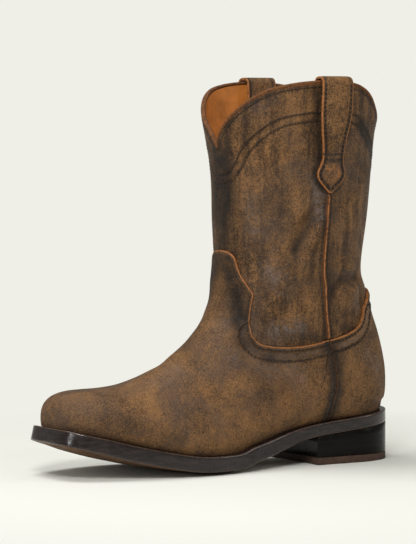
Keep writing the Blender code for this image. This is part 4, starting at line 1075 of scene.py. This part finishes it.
def make_strap(name, leather, raw, side, replaced):
    """A pull strap of two layers with cut edges, sewn flat at its pointed outer tip. The second result is its
    outer face's points."""
    stations, crest = strap_stations()
    stations = np.array(stations)
    fine = np.linspace(0, len(stations) - 1, STRAP_ROWS)
    z, offset, width = (smooth(np.arange(len(stations)), stations[:, k], fine) for k in range(3))
    outer_leg = fine < len(STRAP_DOWN_OUTER) - 1
    width = np.where(outer_leg, [strap_wide(d) for d in np.clip((crest - z) / STRAP_DROP, 0, 1)], width)
    spread = np.sin(np.linspace(-math.pi / 2, math.pi / 2, 2 * STRAP_MIDDLE + 1)) / 2
    grid = []
    for height, off, wide in zip(z, offset, width):
        centre = strap_centre(min(max((crest - height) / STRAP_DROP, 0), 1) if off > 0 else 0.0)
        around = centre + spread * wide / oval_girth(SHAFT_LENGTH, SHAFT_WIDTH)
        at = on_upper(row_at_height(min(height, SHAFT_HEIGHT)), around, off)
        at[:, 2] = height
        grid.append(at)
    grid = np.array(grid)
    normals = np.cross(np.gradient(grid, axis=0), np.gradient(grid, axis=1))
    normals /= np.linalg.norm(normals, axis=2, keepdims=True)
    if side:
        grid, normals = grid * (-1, 1, 1), normals * (-1, 1, 1)
    rim_in = 1 - np.abs(spread * 2) ** 8 * 0.25
    out = normals * (STRAP_THICKNESS / 2) * rim_in[None, :, None]
    top, low = grid + out, grid - out
    edge = near_edge(top, *[thinned(line, 60) for line in (top[:, 0], top[:, -1], top[0])])
    down = (crest - grid[..., 2]) / STRAP_DROP
    within = np.clip((down - TAB_FROM) / 0.03, 0, 1) * np.clip((TAB_TO - down) / 0.08, 0, 1)
    tab = 0.85 * within * np.clip((0.70 - np.abs(2 * spread)) / 0.15, 0, 1) * outer_leg[:, None]
    fold = np.exp(-(((down - TAB_FROM + 0.02) / 0.012) ** 2)) * outer_leg[:, None]
    rim_wax = 0.5 * np.exp(-((edge / 3.0) ** 2))
    dark = np.maximum(rim_wax, TAB_FOLD_WAX * fold)
    shape = Shape()
    flip = bool(side)
    shape.grid(top, 0, flip, values=valued(edge, edge, dark, tab, edge))
    shape.grid(low, 0, not flip, values=valued(edge, edge, dark))
    edge_strips(shape, top, low, (True,) * 4, flip=flip)
    return shape.object(name, [leather, raw], "waxed_leather", [replaced]), top


# Sole and heel: how their cut edges are rounded, as inset and depth from a corner in metres
SOLE_CORNER = ((0.0010, 0.0), (0.00045, 0.00015), (0.00012, 0.0005), (0.0, 0.0011))
LIFT_CORNER = ((0.0006, 0.0), (0.0002, 0.00012), (0.0, 0.0005))
# How far in from the welt's edge the outsole's top face is meshed
SOLE_TOP_WIDE = 0.014
SOLE_FINE = 110
OUTLINE_POINTS = 420


def outline(rows):
    """A closed outline (x, y) from rows of y, lateral x and medial x, evenly spaced."""
    ring = np.concatenate([rows[:, [1, 0]], rows[::-1][1:-1][:, [2, 0]]])
    closed = np.concatenate([ring, ring[:1]])
    run = run_along(closed)
    return read(closed, run, np.linspace(0, run[-1], OUTLINE_POINTS + 1)[:-1])


def inset_ring(ring, by):
    """The outline moved inwards."""
    tangent = unit(np.roll(ring, -1, axis=0) - np.roll(ring, 1, axis=0), 1e-12)
    inward = np.stack([tangent[:, 1], -tangent[:, 0]], axis=1)
    outside_in = ((ring.mean(axis=0) - ring) * inward).sum() < 0
    return ring + (-inward if outside_in else inward) * by


def lofted(shape, rings, slots, rubbed=()):
    """Joins closed rings of points from top to bottom, with a slot for each band, and closes both ends.
    rubbed: the numbers of the rings where the finish is worn."""
    for k, slot in enumerate(slots):
        worn = np.array([[[0, 0, 0, float(n in rubbed), FAR_MM]] * len(rings[0]) for n in (k, k + 1)])
        shape.grid(np.array(rings[k : k + 2]), slot, closed=True, values=worn)
    shape.fan(rings[0], slots[0])
    shape.fan(rings[-1], slots[-1], flip=True)


def at_height(ring, z, lean=True):
    """The outline's points at heights z, leant as the sole's edge is."""
    y = sheared(ring[:, 1], z) if lean else ring[:, 1]
    return np.stack([ring[:, 0], y, z], axis=1)


def make_sole(edge, under):
    """Welt and outsole as they show: one burnished edge over a leather underside."""
    ring = outline(sole_edge(SOLE_FINE))
    y = ring[:, 1]
    rings = []
    for inset, depth in ((SOLE_TOP_WIDE, 0.0), *SOLE_CORNER):
        r = inset_ring(ring, inset)
        rings.append(at_height(r, welt_top(r[:, 1]) - depth))
    corner = SOLE_CORNER[-1][1]
    for share in np.linspace(0.2, 0.8, 4):
        rings.append(at_height(ring, lerp(welt_top(y) - corner, edge_rise(y) + corner, share)))
    for inset, depth in SOLE_CORNER[::-1]:
        r = inset_ring(ring, inset)
        rings.append(at_height(r, edge_rise(r[:, 1]) + depth))
    bands = len(rings) - 1
    middle = sole_middle(ring)
    for share, fall in BELLY:
        r = middle + (inset_ring(ring, SOLE_CORNER[0][0]) - middle) * share
        rings.append(at_height(r, edge_rise(r[:, 1]) - crown_at(r[:, 1]) * (1 - fall)))
    shape = Shape()
    lofted(shape, rings, [0] * bands + [1] * len(BELLY), rubbed=(2, 3, bands - 2, bands - 1))
    return shape.object("sole_body", [edge, under], "sole_edge", ["welt", "outsole"])


def sole_middle(ring):
    """The sole's middle line, read at each point of its outline, kept back from both ends."""
    rows = sole_edge(SOLE_FINE)
    y = np.clip(ring[:, 1], rows[-1, 0] + 0.03, rows[0, 0] - 0.03)
    x = np.interp(-y, -rows[:, 0], (rows[:, 1] + rows[:, 2]) / 2)
    return np.stack([x, y], axis=1)


def heel_ring():
    """The heel's outline with its hollowed front."""
    rows = sole_edge(4 * SOLE_FINE)
    kept = rows[rows[:, 0] > -HEEL_LENGTH / 2]
    ends = [np.interp(HEEL_LENGTH / 2, -rows[:, 0], rows[:, k]) for k in (1, 2)]
    radius = (BALL_WIDTH**2 / 4 + HEEL_HOLLOW**2) / (2 * HEEL_HOLLOW)
    x = np.linspace(ends[0], ends[1], 60)
    y = -HEEL_LENGTH / 2 - radius + HEEL_HOLLOW + np.sqrt(radius**2 - x**2)
    kept = kept[kept[:, 0] > y[0]]
    return np.concatenate([kept[:, [1, 0]], np.stack([x, y], axis=1), kept[::-1][:-1][:, [2, 0]]])


def make_heel(black, rubber):
    """The heel's stack and its top lift."""
    ring = heel_ring()
    flat = np.ones(len(ring))
    stack_top, stack_low = rise_at(ring[:, 1]) - GAP * 0.2, TOP_LIFT_THICKNESS + GAP * 0.5
    corner = LIFT_CORNER[-1][1]
    for name, material, slot_name, replaced, top, low, between in (
        ("heel_block", black, "heel_black", "heel_stack", stack_top, stack_low, (0.3, 0.7)),
        ("heel_top_lift", rubber, "top_lift_rubber", "top_lift", TOP_LIFT_THICKNESS * flat, 0.0, ()),
    ):
        rings = [at_height(inset_ring(ring, i), top - d, False) for i, d in LIFT_CORNER]
        rings += [at_height(ring, lerp(top - corner, low + corner, share), False) for share in between]
        rings += [at_height(inset_ring(ring, i), (low + d) * flat, False) for i, d in LIFT_CORNER[::-1]]
        shape = Shape()
        lofted(shape, rings, [0] * (len(rings) - 1))
        shape.object(name, [material], slot_name, [replaced])


# Thread: a stitch's bar, as places along its length and how thick it is there
STITCH_BAR = ((-0.5, 0.45), (-0.38, 0.9), (0.0, 1.0), (0.38, 0.9), (0.5, 0.45))
STITCH_SIDES = 6


def stitches(name, rows_of_points, thread):
    """One mesh of stitches, each a short bar laid along its row. rows_of_points: (points, normals) pairs."""
    points, faces = [], []
    turns = [2 * math.pi * k / STITCH_SIDES for k in range(STITCH_SIDES)]
    last = (len(STITCH_BAR) - 1) * STITCH_SIDES
    for line, normals in rows_of_points:
        run = run_along(line)
        for middle in np.arange(STITCH_PITCH / 2, run[-1], STITCH_PITCH):
            at, normal = read(line, run, middle), read(normals, run, middle)
            along = read(line, run, middle + 0.0005) - read(line, run, middle - 0.0005)
            along = along / max(np.linalg.norm(along), 1e-9)
            normal -= along * (normal @ along)
            normal /= max(np.linalg.norm(normal), 1e-9)
            across = np.cross(along, normal)
            start = len(points)
            for share, thick in STITCH_BAR:
                radius = THREAD / 2 * thick
                for turn in turns:
                    up = math.sin(turn) * radius - (1 - thick) * THREAD * 0.3
                    aside = across * math.cos(turn) * radius
                    points.append(at + along * share * STITCH_LENGTH + aside + normal * up)
            for first in range(start, start + last, STITCH_SIDES):
                for k in range(STITCH_SIDES):
                    a, b = first + k, first + (k + 1) % STITCH_SIDES
                    faces.append((a, b, b + STITCH_SIDES, a + STITCH_SIDES))
            ends = range(start, start + STITCH_SIDES)
            faces += [tuple(ends)[::-1], tuple(end + last for end in ends)]
    mesh = bpy.data.meshes.new(name)
    mesh.from_pydata([tuple(p) for p in points], [], faces)
    mesh.materials.append(thread)
    add_object(name, mesh, "waxed_leather")


class Ground:
    """A finished piece's surface, to lay rows of stitches on."""

    def __init__(self, made):
        mesh = made.data
        corners = [v.co.copy() for v in mesh.vertices]
        self.tree = BVHTree.FromPolygons(corners, [tuple(p.vertices) for p in mesh.polygons])

    def nearest(self, points):
        found = [self.tree.find_nearest(Vector(p))[:2] for p in points]
        return np.array([f[0] for f in found]), np.array([f[1] for f in found])

    def row(self, line, inwards=0.0, towards=None):
        """A row laid on the surface, moved sideways from the line by inwards, towards the side of a point."""
        at, normals = self.nearest(resampled(line, 0.0015))
        steps = math.ceil(inwards / 0.001)
        for _ in range(steps):
            across = np.cross(normals, unit(np.gradient(at, axis=0)))
            if ((towards - at) * across).sum() < 0:
                across = -across
            at, normals = self.nearest(at + across * inwards / steps)
        at, normals = self.nearest(resampled(at, 0.0012))
        return at + normals * THREAD_LIFT, normals


def resampled(line, spacing):
    run = run_along(line)
    return read(line, run, np.linspace(0, run[-1], max(3, int(run[-1] / spacing))))


def below_rim(depth, first, last):
    """A line on the shaft that runs at a depth under the collar's edge, between two shares around."""
    rim_around = np.linspace(0, 1, 241)
    rim = place(rim_row(rim_around), rim_around)
    down = np.linspace(0, DEEPEST_ROWS, 90)
    line = []
    for a in np.linspace(first, last, 160):
        points = place(rim_row(np.array(a)) + down, np.full(len(down), a))
        deep = np.maximum.accumulate(distance(points, rim)[0])
        line.append(points[min(int(np.searchsorted(deep, depth)), len(down) - 1)])
    padded = np.pad(np.array(line), ((2, 2), (0, 0)), mode="edge")
    return np.stack([np.convolve(padded[:, k], np.ones(5) / 5, mode="valid") for k in range(3)], axis=1)


# Colours, linear
PALE = (0.235, 0.115, 0.041)
BROWN = (0.080, 0.039, 0.0145)
SHADE = (0.032, 0.016, 0.007)
# Grey of random patches over the leather: worn wax with painted sheen
COOL = (0.064, 0.043, 0.033)
DARK = (0.0075, 0.0047, 0.0032)
# Grey of the listed worn places: worn wax with painted sheen
WORN_SHEEN = (0.140, 0.104, 0.088)
RAW_EDGE = (0.310, 0.118, 0.036)
TAB = (0.270, 0.112, 0.034)
LINING = (0.560, 0.195, 0.036)
BACKGROUND = (0.863, 0.863, 0.800)
FLOOR = (0.70, 0.70, 0.65)
SURROUND_LIGHT = 0.35
# Half width in millimetres of the groove along a stitch row, what the lights aim at, the lit floor's middle
ROW_HALF_MM = 1.3
LIGHTS_AIM = (0, -0.1, 0.12)
FLOOR_MIDDLE = (0.05, -0.1, 0.0)


class Look:
    """A node material with short ways to add and join its nodes."""

    def __init__(self, name):
        self.material = bpy.data.materials.new(name)
        self.material.use_nodes = True
        self.tree = self.material.node_tree
        self.object_coords = self.node("ShaderNodeTexCoord").outputs["Object"]

    def feed(self, socket, value):
        """Links another node's output to a socket, or sets a number, vector or colour on it."""
        if hasattr(value, "is_linked"):
            self.tree.links.new(value, socket)
        elif isinstance(value, tuple) and len(socket.default_value) == 4:
            socket.default_value = (*value, 1)
        else:
            socket.default_value = value

    def node(self, kind, inputs=None, **settings):
        made = self.tree.nodes.new(kind)
        for key, value in settings.items():
            setattr(made, key, value)
        for key, value in (inputs or {}).items():
            self.feed(made.inputs[key], value)
        return made

    def math(self, operation, a, b=0.0, clamp=False):
        return self.node("ShaderNodeMath", {0: a, 1: b}, operation=operation, use_clamp=clamp).outputs[0]

    def plus(self, a, b):
        return self.math("ADD", a, b)

    def minus(self, a, b, clamp=False):
        return self.math("SUBTRACT", a, b, clamp)

    def times(self, a, b, clamp=False):
        return self.math("MULTIPLY", a, b, clamp)

    def stretched(self, factors):
        return self.node("ShaderNodeMapping", {"Vector": self.object_coords, "Scale": factors}).outputs[0]

    def noise(self, scale, detail=4.0, roughness=0.55, distortion=0.0, vector=None):
        inputs = {"Vector": vector or self.object_coords, "Scale": scale, "Detail": detail}
        inputs |= {"Roughness": roughness, "Distortion": distortion}
        return self.node("ShaderNodeTexNoise", inputs).outputs["Fac"]

    def cells(self, scale):
        inputs = {"Vector": self.object_coords, "Scale": scale}
        return self.node("ShaderNodeTexVoronoi", inputs, feature="DISTANCE_TO_EDGE").outputs["Distance"]

    def ramp(self, value, *stops):
        made = self.node("ShaderNodeValToRGB", {"Fac": value})
        line = made.color_ramp.elements
        while len(line) < len(stops):
            line.new(0.5)
        for element, (place_at, colour) in zip(line, stops):
            element.position = place_at
            element.color = (*(colour if isinstance(colour, tuple) else (colour,) * 3), 1)
        return made.outputs["Color"]

    def mix(self, share, a, b):
        return self.node("ShaderNodeMix", {"Factor": share, 6: a, 7: b}, data_type="RGBA").outputs[2]

    def value_of(self, name):
        return self.node("ShaderNodeAttribute", attribute_name=name).outputs["Fac"]

    def bump(self, height, depth, strength=1.0, **under):
        inputs = {"Height": height, "Distance": depth, "Strength": strength, **under}
        return self.node("ShaderNodeBump", inputs).outputs["Normal"]

    def join(self, **sockets):
        for name, value in sockets.items():
            self.feed(self.tree.nodes["Principled BSDF"].inputs[name.replace("_", " ")], value)
        return self.material


def groove(look, distance_mm, at, width):
    """A soft line at a distance: 1 on the line and 0 away from it."""
    off = look.math("ABSOLUTE", look.minus(distance_mm, at))
    return look.minus(1.0, look.math("DIVIDE", off, width), clamp=True)


def distressed_leather(
    name, rows, side_rows=(), channel=None, streaks=0.0, contrast=1.0, cut=0.0, shift=0.0, worn=WORN_SHEEN
):
    """Waxed and rubbed brown leather, with painted shade in its dark wax and grooves and painted sheen in its
    grey patches.
    rows and side_rows: distances in millimetres of its stitch rows from its edges. channel: two distances
    between which
    the leather is raised. streaks: share of upright streaks in its tone. contrast: gain on its tone. cut:
    width in millimetres
    of the bare edge. shift: how much paler it is. worn: colour of its worn places, with painted sheen; the
    strap passes its tab's colour here."""
    look = Look(name)
    plus, minus, times, noise, ramp, mix = look.plus, look.minus, look.times, look.noise, look.ramp, look.mix
    broad, middle = noise(20.0, 5.0, 0.64, 0.6), noise(150.0, 5.0, 0.70, 0.3)
    fine, pores = noise(700.0, 4.0, 0.80), noise(1300.0, 2.0, 0.6)
    tone = plus(plus(times(broad, 0.30), times(middle, 0.21)), times(fine, 0.49))
    if streaks:
        upright = noise(150.0, 3.0, 0.6, 0.2, look.stretched((1.0, 1.0, 0.13)))
        tone = plus(tone, times(minus(upright, 0.5), streaks))
    tone = plus(times(minus(tone, 0.5), contrast), 0.5 + shift)
    colour = ramp(tone, (0.38, SHADE), (0.46, BROWN), (0.54, lerp_colour(BROWN, PALE, 0.55)), (0.63, PALE))
    # Grey patches at random: worn wax with painted sheen
    colour = mix(ramp(noise(16.0, 5.0, 0.66, 0.9), (0.48, 0.0), (0.66, 0.60)), colour, COOL)
    # Worn places from the point values: worn wax with painted sheen; on the strap they are its tab
    broken = ramp(noise(260.0, 4.0, 0.7), (0.42, 0.15), (0.56, 1.0))
    patches = times(look.value_of("worn"), broken)
    colour = mix(patches, colour, worn)

    edge, side = look.value_of("edge_mm"), look.value_of("side_mm")
    if channel:
        inside = groove(look, side if side_rows else edge, sum(channel) / 2, (channel[1] - channel[0]) / 2)
        # On the vamp and counter the raised band between the rows takes the worn grey: a painted sheen on its
        # crest
        if side_rows:
            colour = mix(times(times(inside, broken), 0.55), colour, worn)
    # The stitch rows' grooves, sunk by the bump and darkened below: painted shade in them
    found = [groove(look, edge, at, ROW_HALF_MM) for at in rows]
    found += [groove(look, side, at, ROW_HALF_MM) for at in side_rows]
    lines = found[0]
    for line in found[1:]:
        lines = look.math("MAXIMUM", lines, line)
    uneven = ramp(noise(170.0, 5.0, 0.7), (0.36, 0.76), (0.56, 1.0))
    # Dark wax and painted shade from the point values, with painted shade in the stitch rows' grooves
    dark = look.math("MAXIMUM", times(look.value_of("wax_and_shade"), uneven), times(lines, times(uneven, 0.55)))
    colour = mix(times(dark, 0.96), colour, DARK)
    colour = mix(ramp(pores, (0.34, 0.75), (0.47, 0.0)), colour, DARK)
    if cut:
        bare = minus(1.0, look.math("DIVIDE", look.value_of("cut_mm"), cut), clamp=True)
        colour = mix(times(times(bare, 3.0, clamp=True), uneven), colour, RAW_EDGE)

    roughness = minus(ramp(noise(70.0, 5.0, 0.65), (0.35, 0.50), (0.65, 0.70)), times(patches, 0.12))
    height = plus(plus(times(look.cells(700.0), 0.8), times(fine, 0.9)), times(middle, 1.1))
    sewn = times(lines, -1.0)
    if channel:
        sewn = plus(sewn, times(inside, 1.6, clamp=True))
    normal = look.bump(sewn, 0.0009, 1.0, Normal=look.bump(height, 0.0006, 0.9))
    return look.join(Base_Color=colour, Roughness=roughness, Normal=normal, Specular_IOR_Level=0.20)


def lerp_colour(a, b, t):
    return tuple(lerp(x, y, t) for x, y in zip(a, b))


def two_tone(name, noise, stops, roughness, specular, grain, strength=0.4):
    """A plain finish that wavers between two colours, with a fine grain. noise, grain: how their noises are
    read, or how fine the grain's cells are."""
    look = Look(name)
    colour = look.ramp(look.noise(*noise), *stops)
    height = look.noise(*grain) if isinstance(grain, tuple) else look.cells(grain)
    normal = look.bump(height, 0.0002, strength)
    return look.join(Base_Color=colour, Roughness=roughness, Normal=normal, Specular_IOR_Level=specular)


def raw_edge(name="raw_edge", darkened=0.0):
    """Cut leather: orange tan, a little dark in places. waxed: share of dark wax on it."""
    low = lerp_colour(RAW_EDGE, DARK, 0.7 + 0.25 * darkened)
    stops = (0.36, low), (0.56, lerp_colour(RAW_EDGE, DARK, darkened))
    return two_tone(name, (420.0, 4.0, 0.7), stops, 0.75, 0.2, (1400.0, 3.0), 0.5)


def sole_edge_finish():
    """Burnished edge, dark brown with a satin shine and a painted sheen in its paler, purplish streaks, rubbed
    a little browner in places.
    """
    look = Look("burnished_edge")
    streak = look.noise(60.0, 5.0, 0.65, vector=look.stretched((1.0, 1.0, 6.0)))
    # The streaks' palest, purplish stop is a painted sheen
    stops = (0.38, (0.007, 0.0045, 0.0042)), (0.50, (0.013, 0.008, 0.0075)), (0.66, (0.024, 0.0145, 0.0135))
    rub = look.times(look.value_of("worn"), look.ramp(look.noise(300.0, 4.0, 0.7), (0.38, 0.35), (0.56, 1.0)))
    colour = look.mix(rub, look.ramp(streak, *stops), (0.070, 0.040, 0.025))
    roughness = look.ramp(look.noise(160.0, 4.0), (0.35, 0.15), (0.65, 0.32))
    normal = look.bump(look.plus(streak, look.noise(500.0, 3.0)), 0.0002, 0.4)
    return look.join(Base_Color=colour, Roughness=roughness, Normal=normal, Specular_IOR_Level=0.40)


def heel_finish():
    look = Look("inked_heel")
    layers = look.noise(30.0, 3.0, 0.5, vector=look.stretched((0.3, 0.3, 9.0)))
    colour = look.ramp(layers, (0.4, (0.0040, 0.0036, 0.003)), (0.6, (0.0075, 0.0068, 0.006)))
    roughness = look.ramp(look.noise(200.0, 4.0), (0.35, 0.16), (0.65, 0.30))
    normal = look.bump(layers, 0.0002, 0.4)
    return look.join(Base_Color=colour, Roughness=roughness, Normal=normal, Specular_IOR_Level=0.07)


def thread_finish():
    look = Look("waxed_thread")
    colour = look.ramp(look.noise(900.0, 2.0), (0.35, (0.006, 0.0045, 0.004)), (0.65, (0.020, 0.013, 0.009)))
    return look.join(Base_Color=colour, Roughness=0.6, Specular_IOR_Level=0.3)


def dress():
    """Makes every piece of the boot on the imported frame."""
    raw, waxed_edge = raw_edge(), raw_edge("waxed_edge", 0.75)
    lining_stops = (0.35, lerp_colour(LINING, DARK, 0.35)), (0.6, LINING)
    lining = two_tone("lining", (60.0, 5.0, 0.6), lining_stops, 0.6, 0.25, 900.0, 0.35)
    rim_mm = tuple(1000 * deep for deep in RIM_ROWS_IN)
    side_mm = (1000 * EDGE_ROW_IN, 1000 * SECOND_ROW_IN)
    shaft_leather = distressed_leather(
        "shaft_leather", rim_mm, (), rim_mm[1:], streaks=0.35, contrast=1.2, shift=-0.010
    )
    # The vamp's leather, shared with the counter, is paler by its shift: painted light for the light that
    # falls on the top of the foot
    vamp_leather = distressed_leather(
        "vamp_leather", side_mm[:1], side_mm[1:], side_mm, contrast=1.3, cut=0.55, shift=0.036
    )
    strap_mm = (1000 * STRAP_ROW_IN,)
    strap_leather = distressed_leather("strap_leather", strap_mm, contrast=1.7, cut=0.65, worn=TAB)
    piping_look = raw_edge("rolled_edge", 0.55)
    edge_look, thread = sole_edge_finish(), thread_finish()
    under_stops = (0.35, (0.070, 0.035, 0.017)), (0.65, (0.140, 0.070, 0.032))
    under_look = two_tone("sole_leather", (55.0, 6.0, 0.6), under_stops, 0.7, 0.2, (600.0, 4.0))
    rubber_stops = (0.35, (0.040, 0.022, 0.014)), (0.65, (0.066, 0.036, 0.023))
    rubber = two_tone("lift_rubber", (300.0, 4.0), rubber_stops, 0.7, 0.25, (900.0,))

    shell = make_shell(shaft_leather, raw, lining)
    make_piping(piping_look)
    vamp, vamp_lines = make_vamp(vamp_leather, raw, waxed_edge)
    counter, counter_top = make_counter(vamp_leather, raw, waxed_edge)
    sides = ("outer", "inner")
    for k, side in enumerate(sides):
        make_seam_strip(f"seam_strip_{side}", k, f"side_seam_{side}", [waxed_edge, raw])
    straps = []
    for k, side in enumerate(sides):
        straps.append(make_strap(f"strap_{side}", strap_leather, raw, k, f"pull_strap_{side}"))
    make_sole(edge_look, under_look)
    make_heel(heel_finish(), rubber)
    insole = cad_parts["insole"]
    insole.data.materials.clear()
    insole.data.materials.append(lining)

    toe = np.array((0.0, float(y_at(0.7)), INSTEP_HEIGHT * 0.55))
    heel = np.array((0.0, SEAT_BACK, HEEL_HEIGHT))
    edge, side, seam = vamp_lines
    twin = (EDGE_ROW_IN, EDGE_ROW_IN + TWIN_ROW)
    along_vamp = ((edge, (EDGE_ROW_IN,)), (side, (SECOND_ROW_IN,)), (seam, twin))
    along_counter = ((counter_top, (EDGE_ROW_IN, SECOND_ROW_IN)),)
    for name, piece, towards, wanted in (
        ("vamp_stitches", vamp, toe, along_vamp),
        ("counter_stitches", counter, heel, along_counter),
    ):
        ground, rows = Ground(piece), []
        for line, inwards in wanted:
            for part in (line, other_side(line)):
                rows += [ground.row(laid(part), into, towards) for into in inwards]
        stitches(name, rows, thread)
    ground = Ground(shell)
    stitches("collar_stitches", [ground.row(below_rim(deep, 0.0, 1.0)) for deep in RIM_ROWS_IN], thread)
    sew_straps(straps, thread)
    sew_seams(ground, thread)


def sew_straps(straps, thread):
    """Rows along both edges of each strap's outer leg, round its tip and across the top of its tab."""
    rows = []
    for strap, top in straps:
        ground = Ground(strap)
        crest = top[..., 2].max()
        middle = top[: int(np.argmax(top[:, STRAP_MIDDLE, 2] > crest - STRAP_ROW_STOP)), STRAP_MIDDLE]
        for column in (0, -1):
            line = np.concatenate([middle[:1], top[: len(middle), column]])
            rows.append(ground.row(line, STRAP_ROW_IN, middle[len(middle) // 2]))
        across = int(np.argmax(middle[:, 2] > crest - TAB_FROM * STRAP_DROP))
        rows.append(ground.row(top[across, 2:-2]))
    stitches("strap_stitches", rows, thread)


def sew_seams(ground, thread):
    """A row on each side of the shaft's side seams."""
    down, centre = side_seam(0.1, 60)
    aside = (SEAM_STRIP_WIDTH / 2 + BESIDE_SEAM) / oval_girth(ANKLE_LENGTH, ANKLE_WIDTH)
    places = (centre + aside, centre - aside, 1 - centre - aside, 1 - centre + aside)
    stitches("seam_stitches", [ground.row(place(down, around)) for around in places], thread)


def aim_camera():
    """The photograph's viewing angle and distance, turned to frame this boot."""
    angle = math.radians(CAMERA_ANGLE)
    right = Vector((math.sin(angle), math.cos(angle), 0))
    ahead = Vector((-math.cos(angle), math.sin(angle), 0))
    off = [(aim - centre) / PHOTO_FOCAL for aim, centre in zip(PHOTO_AIM, PHOTO_CENTRE)]
    look = ahead + right * off[0] - Vector((0, 0, 1)) * off[1]
    data = bpy.data.cameras.new("camera")
    data.sensor_width = 36.0
    data.lens = PHOTO_FOCAL * FRAME_GAIN / PHOTO_LONG_SIDE * data.sensor_width
    data.clip_start, data.clip_end = 0.05, 50
    camera = bpy.data.objects.new("camera", data)
    camera.location = -ahead * CAMERA_DISTANCE + Vector((0, 0, CAMERA_HEIGHT))
    camera.rotation_mode = "QUATERNION"
    camera.rotation_quaternion = look.to_track_quat("-Z", "Y")
    bpy.context.scene.collection.objects.link(camera)
    bpy.context.scene.camera = camera


def area_light(name, place_at, size, power):
    data = bpy.data.lights.new(name, "AREA")
    data.shape = "RECTANGLE"
    data.size, data.size_y = size
    data.energy = power
    light = bpy.data.objects.new(name, data)
    light.location = place_at
    light.rotation_mode = "QUATERNION"
    light.rotation_quaternion = (Vector(LIGHTS_AIM) - Vector(place_at)).to_track_quat("-Z", "Y")
    bpy.context.scene.collection.objects.link(light)


def studio():
    """A pale floor that passes into the pale surround away from the boot, and soft lights."""
    bpy.ops.mesh.primitive_plane_add(size=40, location=(0, 0, 0))
    floor = bpy.context.object
    floor.name = "floor"
    look = Look("pale_floor")
    inputs = {0: look.object_coords, 1: FLOOR_MIDDLE}
    away = look.node("ShaderNodeVectorMath", inputs, operation="DISTANCE")
    far = look.ramp(away.outputs["Value"], (0.22, 0.0), (0.50, 1.0))
    colour = look.mix(far, FLOOR, (0.0, 0.0, 0.0))
    glow = {"Emission_Color": BACKGROUND, "Emission_Strength": far}
    floor.data.materials.append(look.join(Base_Color=colour, Roughness=1.0, Specular_IOR_Level=0.0, **glow))
    world = bpy.data.worlds.new("studio")
    world.use_nodes = True
    nodes, links = world.node_tree.nodes, world.node_tree.links
    background = nodes["Background"]
    background.inputs["Color"].default_value = (*BACKGROUND, 1)
    seen = nodes.new("ShaderNodeMapRange")
    seen.inputs["To Min"].default_value = SURROUND_LIGHT
    seen.inputs["To Max"].default_value = 1.0
    links.new(nodes.new("ShaderNodeLightPath").outputs["Is Camera Ray"], seen.inputs["Value"])
    links.new(seen.outputs["Result"], background.inputs["Strength"])
    bpy.context.scene.world = world
    area_light("key", (1.5, -1.2, 1.5), (0.6, 0.6), 31)
    area_light("toe_side", (0.7, -1.9, 0.7), (0.3, 0.9), 11)
    area_light("heel_side", (1.1, 1.4, 0.9), (0.4, 1.0), 5)
    area_light("top", (-0.3, -0.5, 1.9), (0.9, 0.9), 22)
    bpy.context.scene.view_settings.view_transform = "Standard"


dress()
aim_camera()
studio()
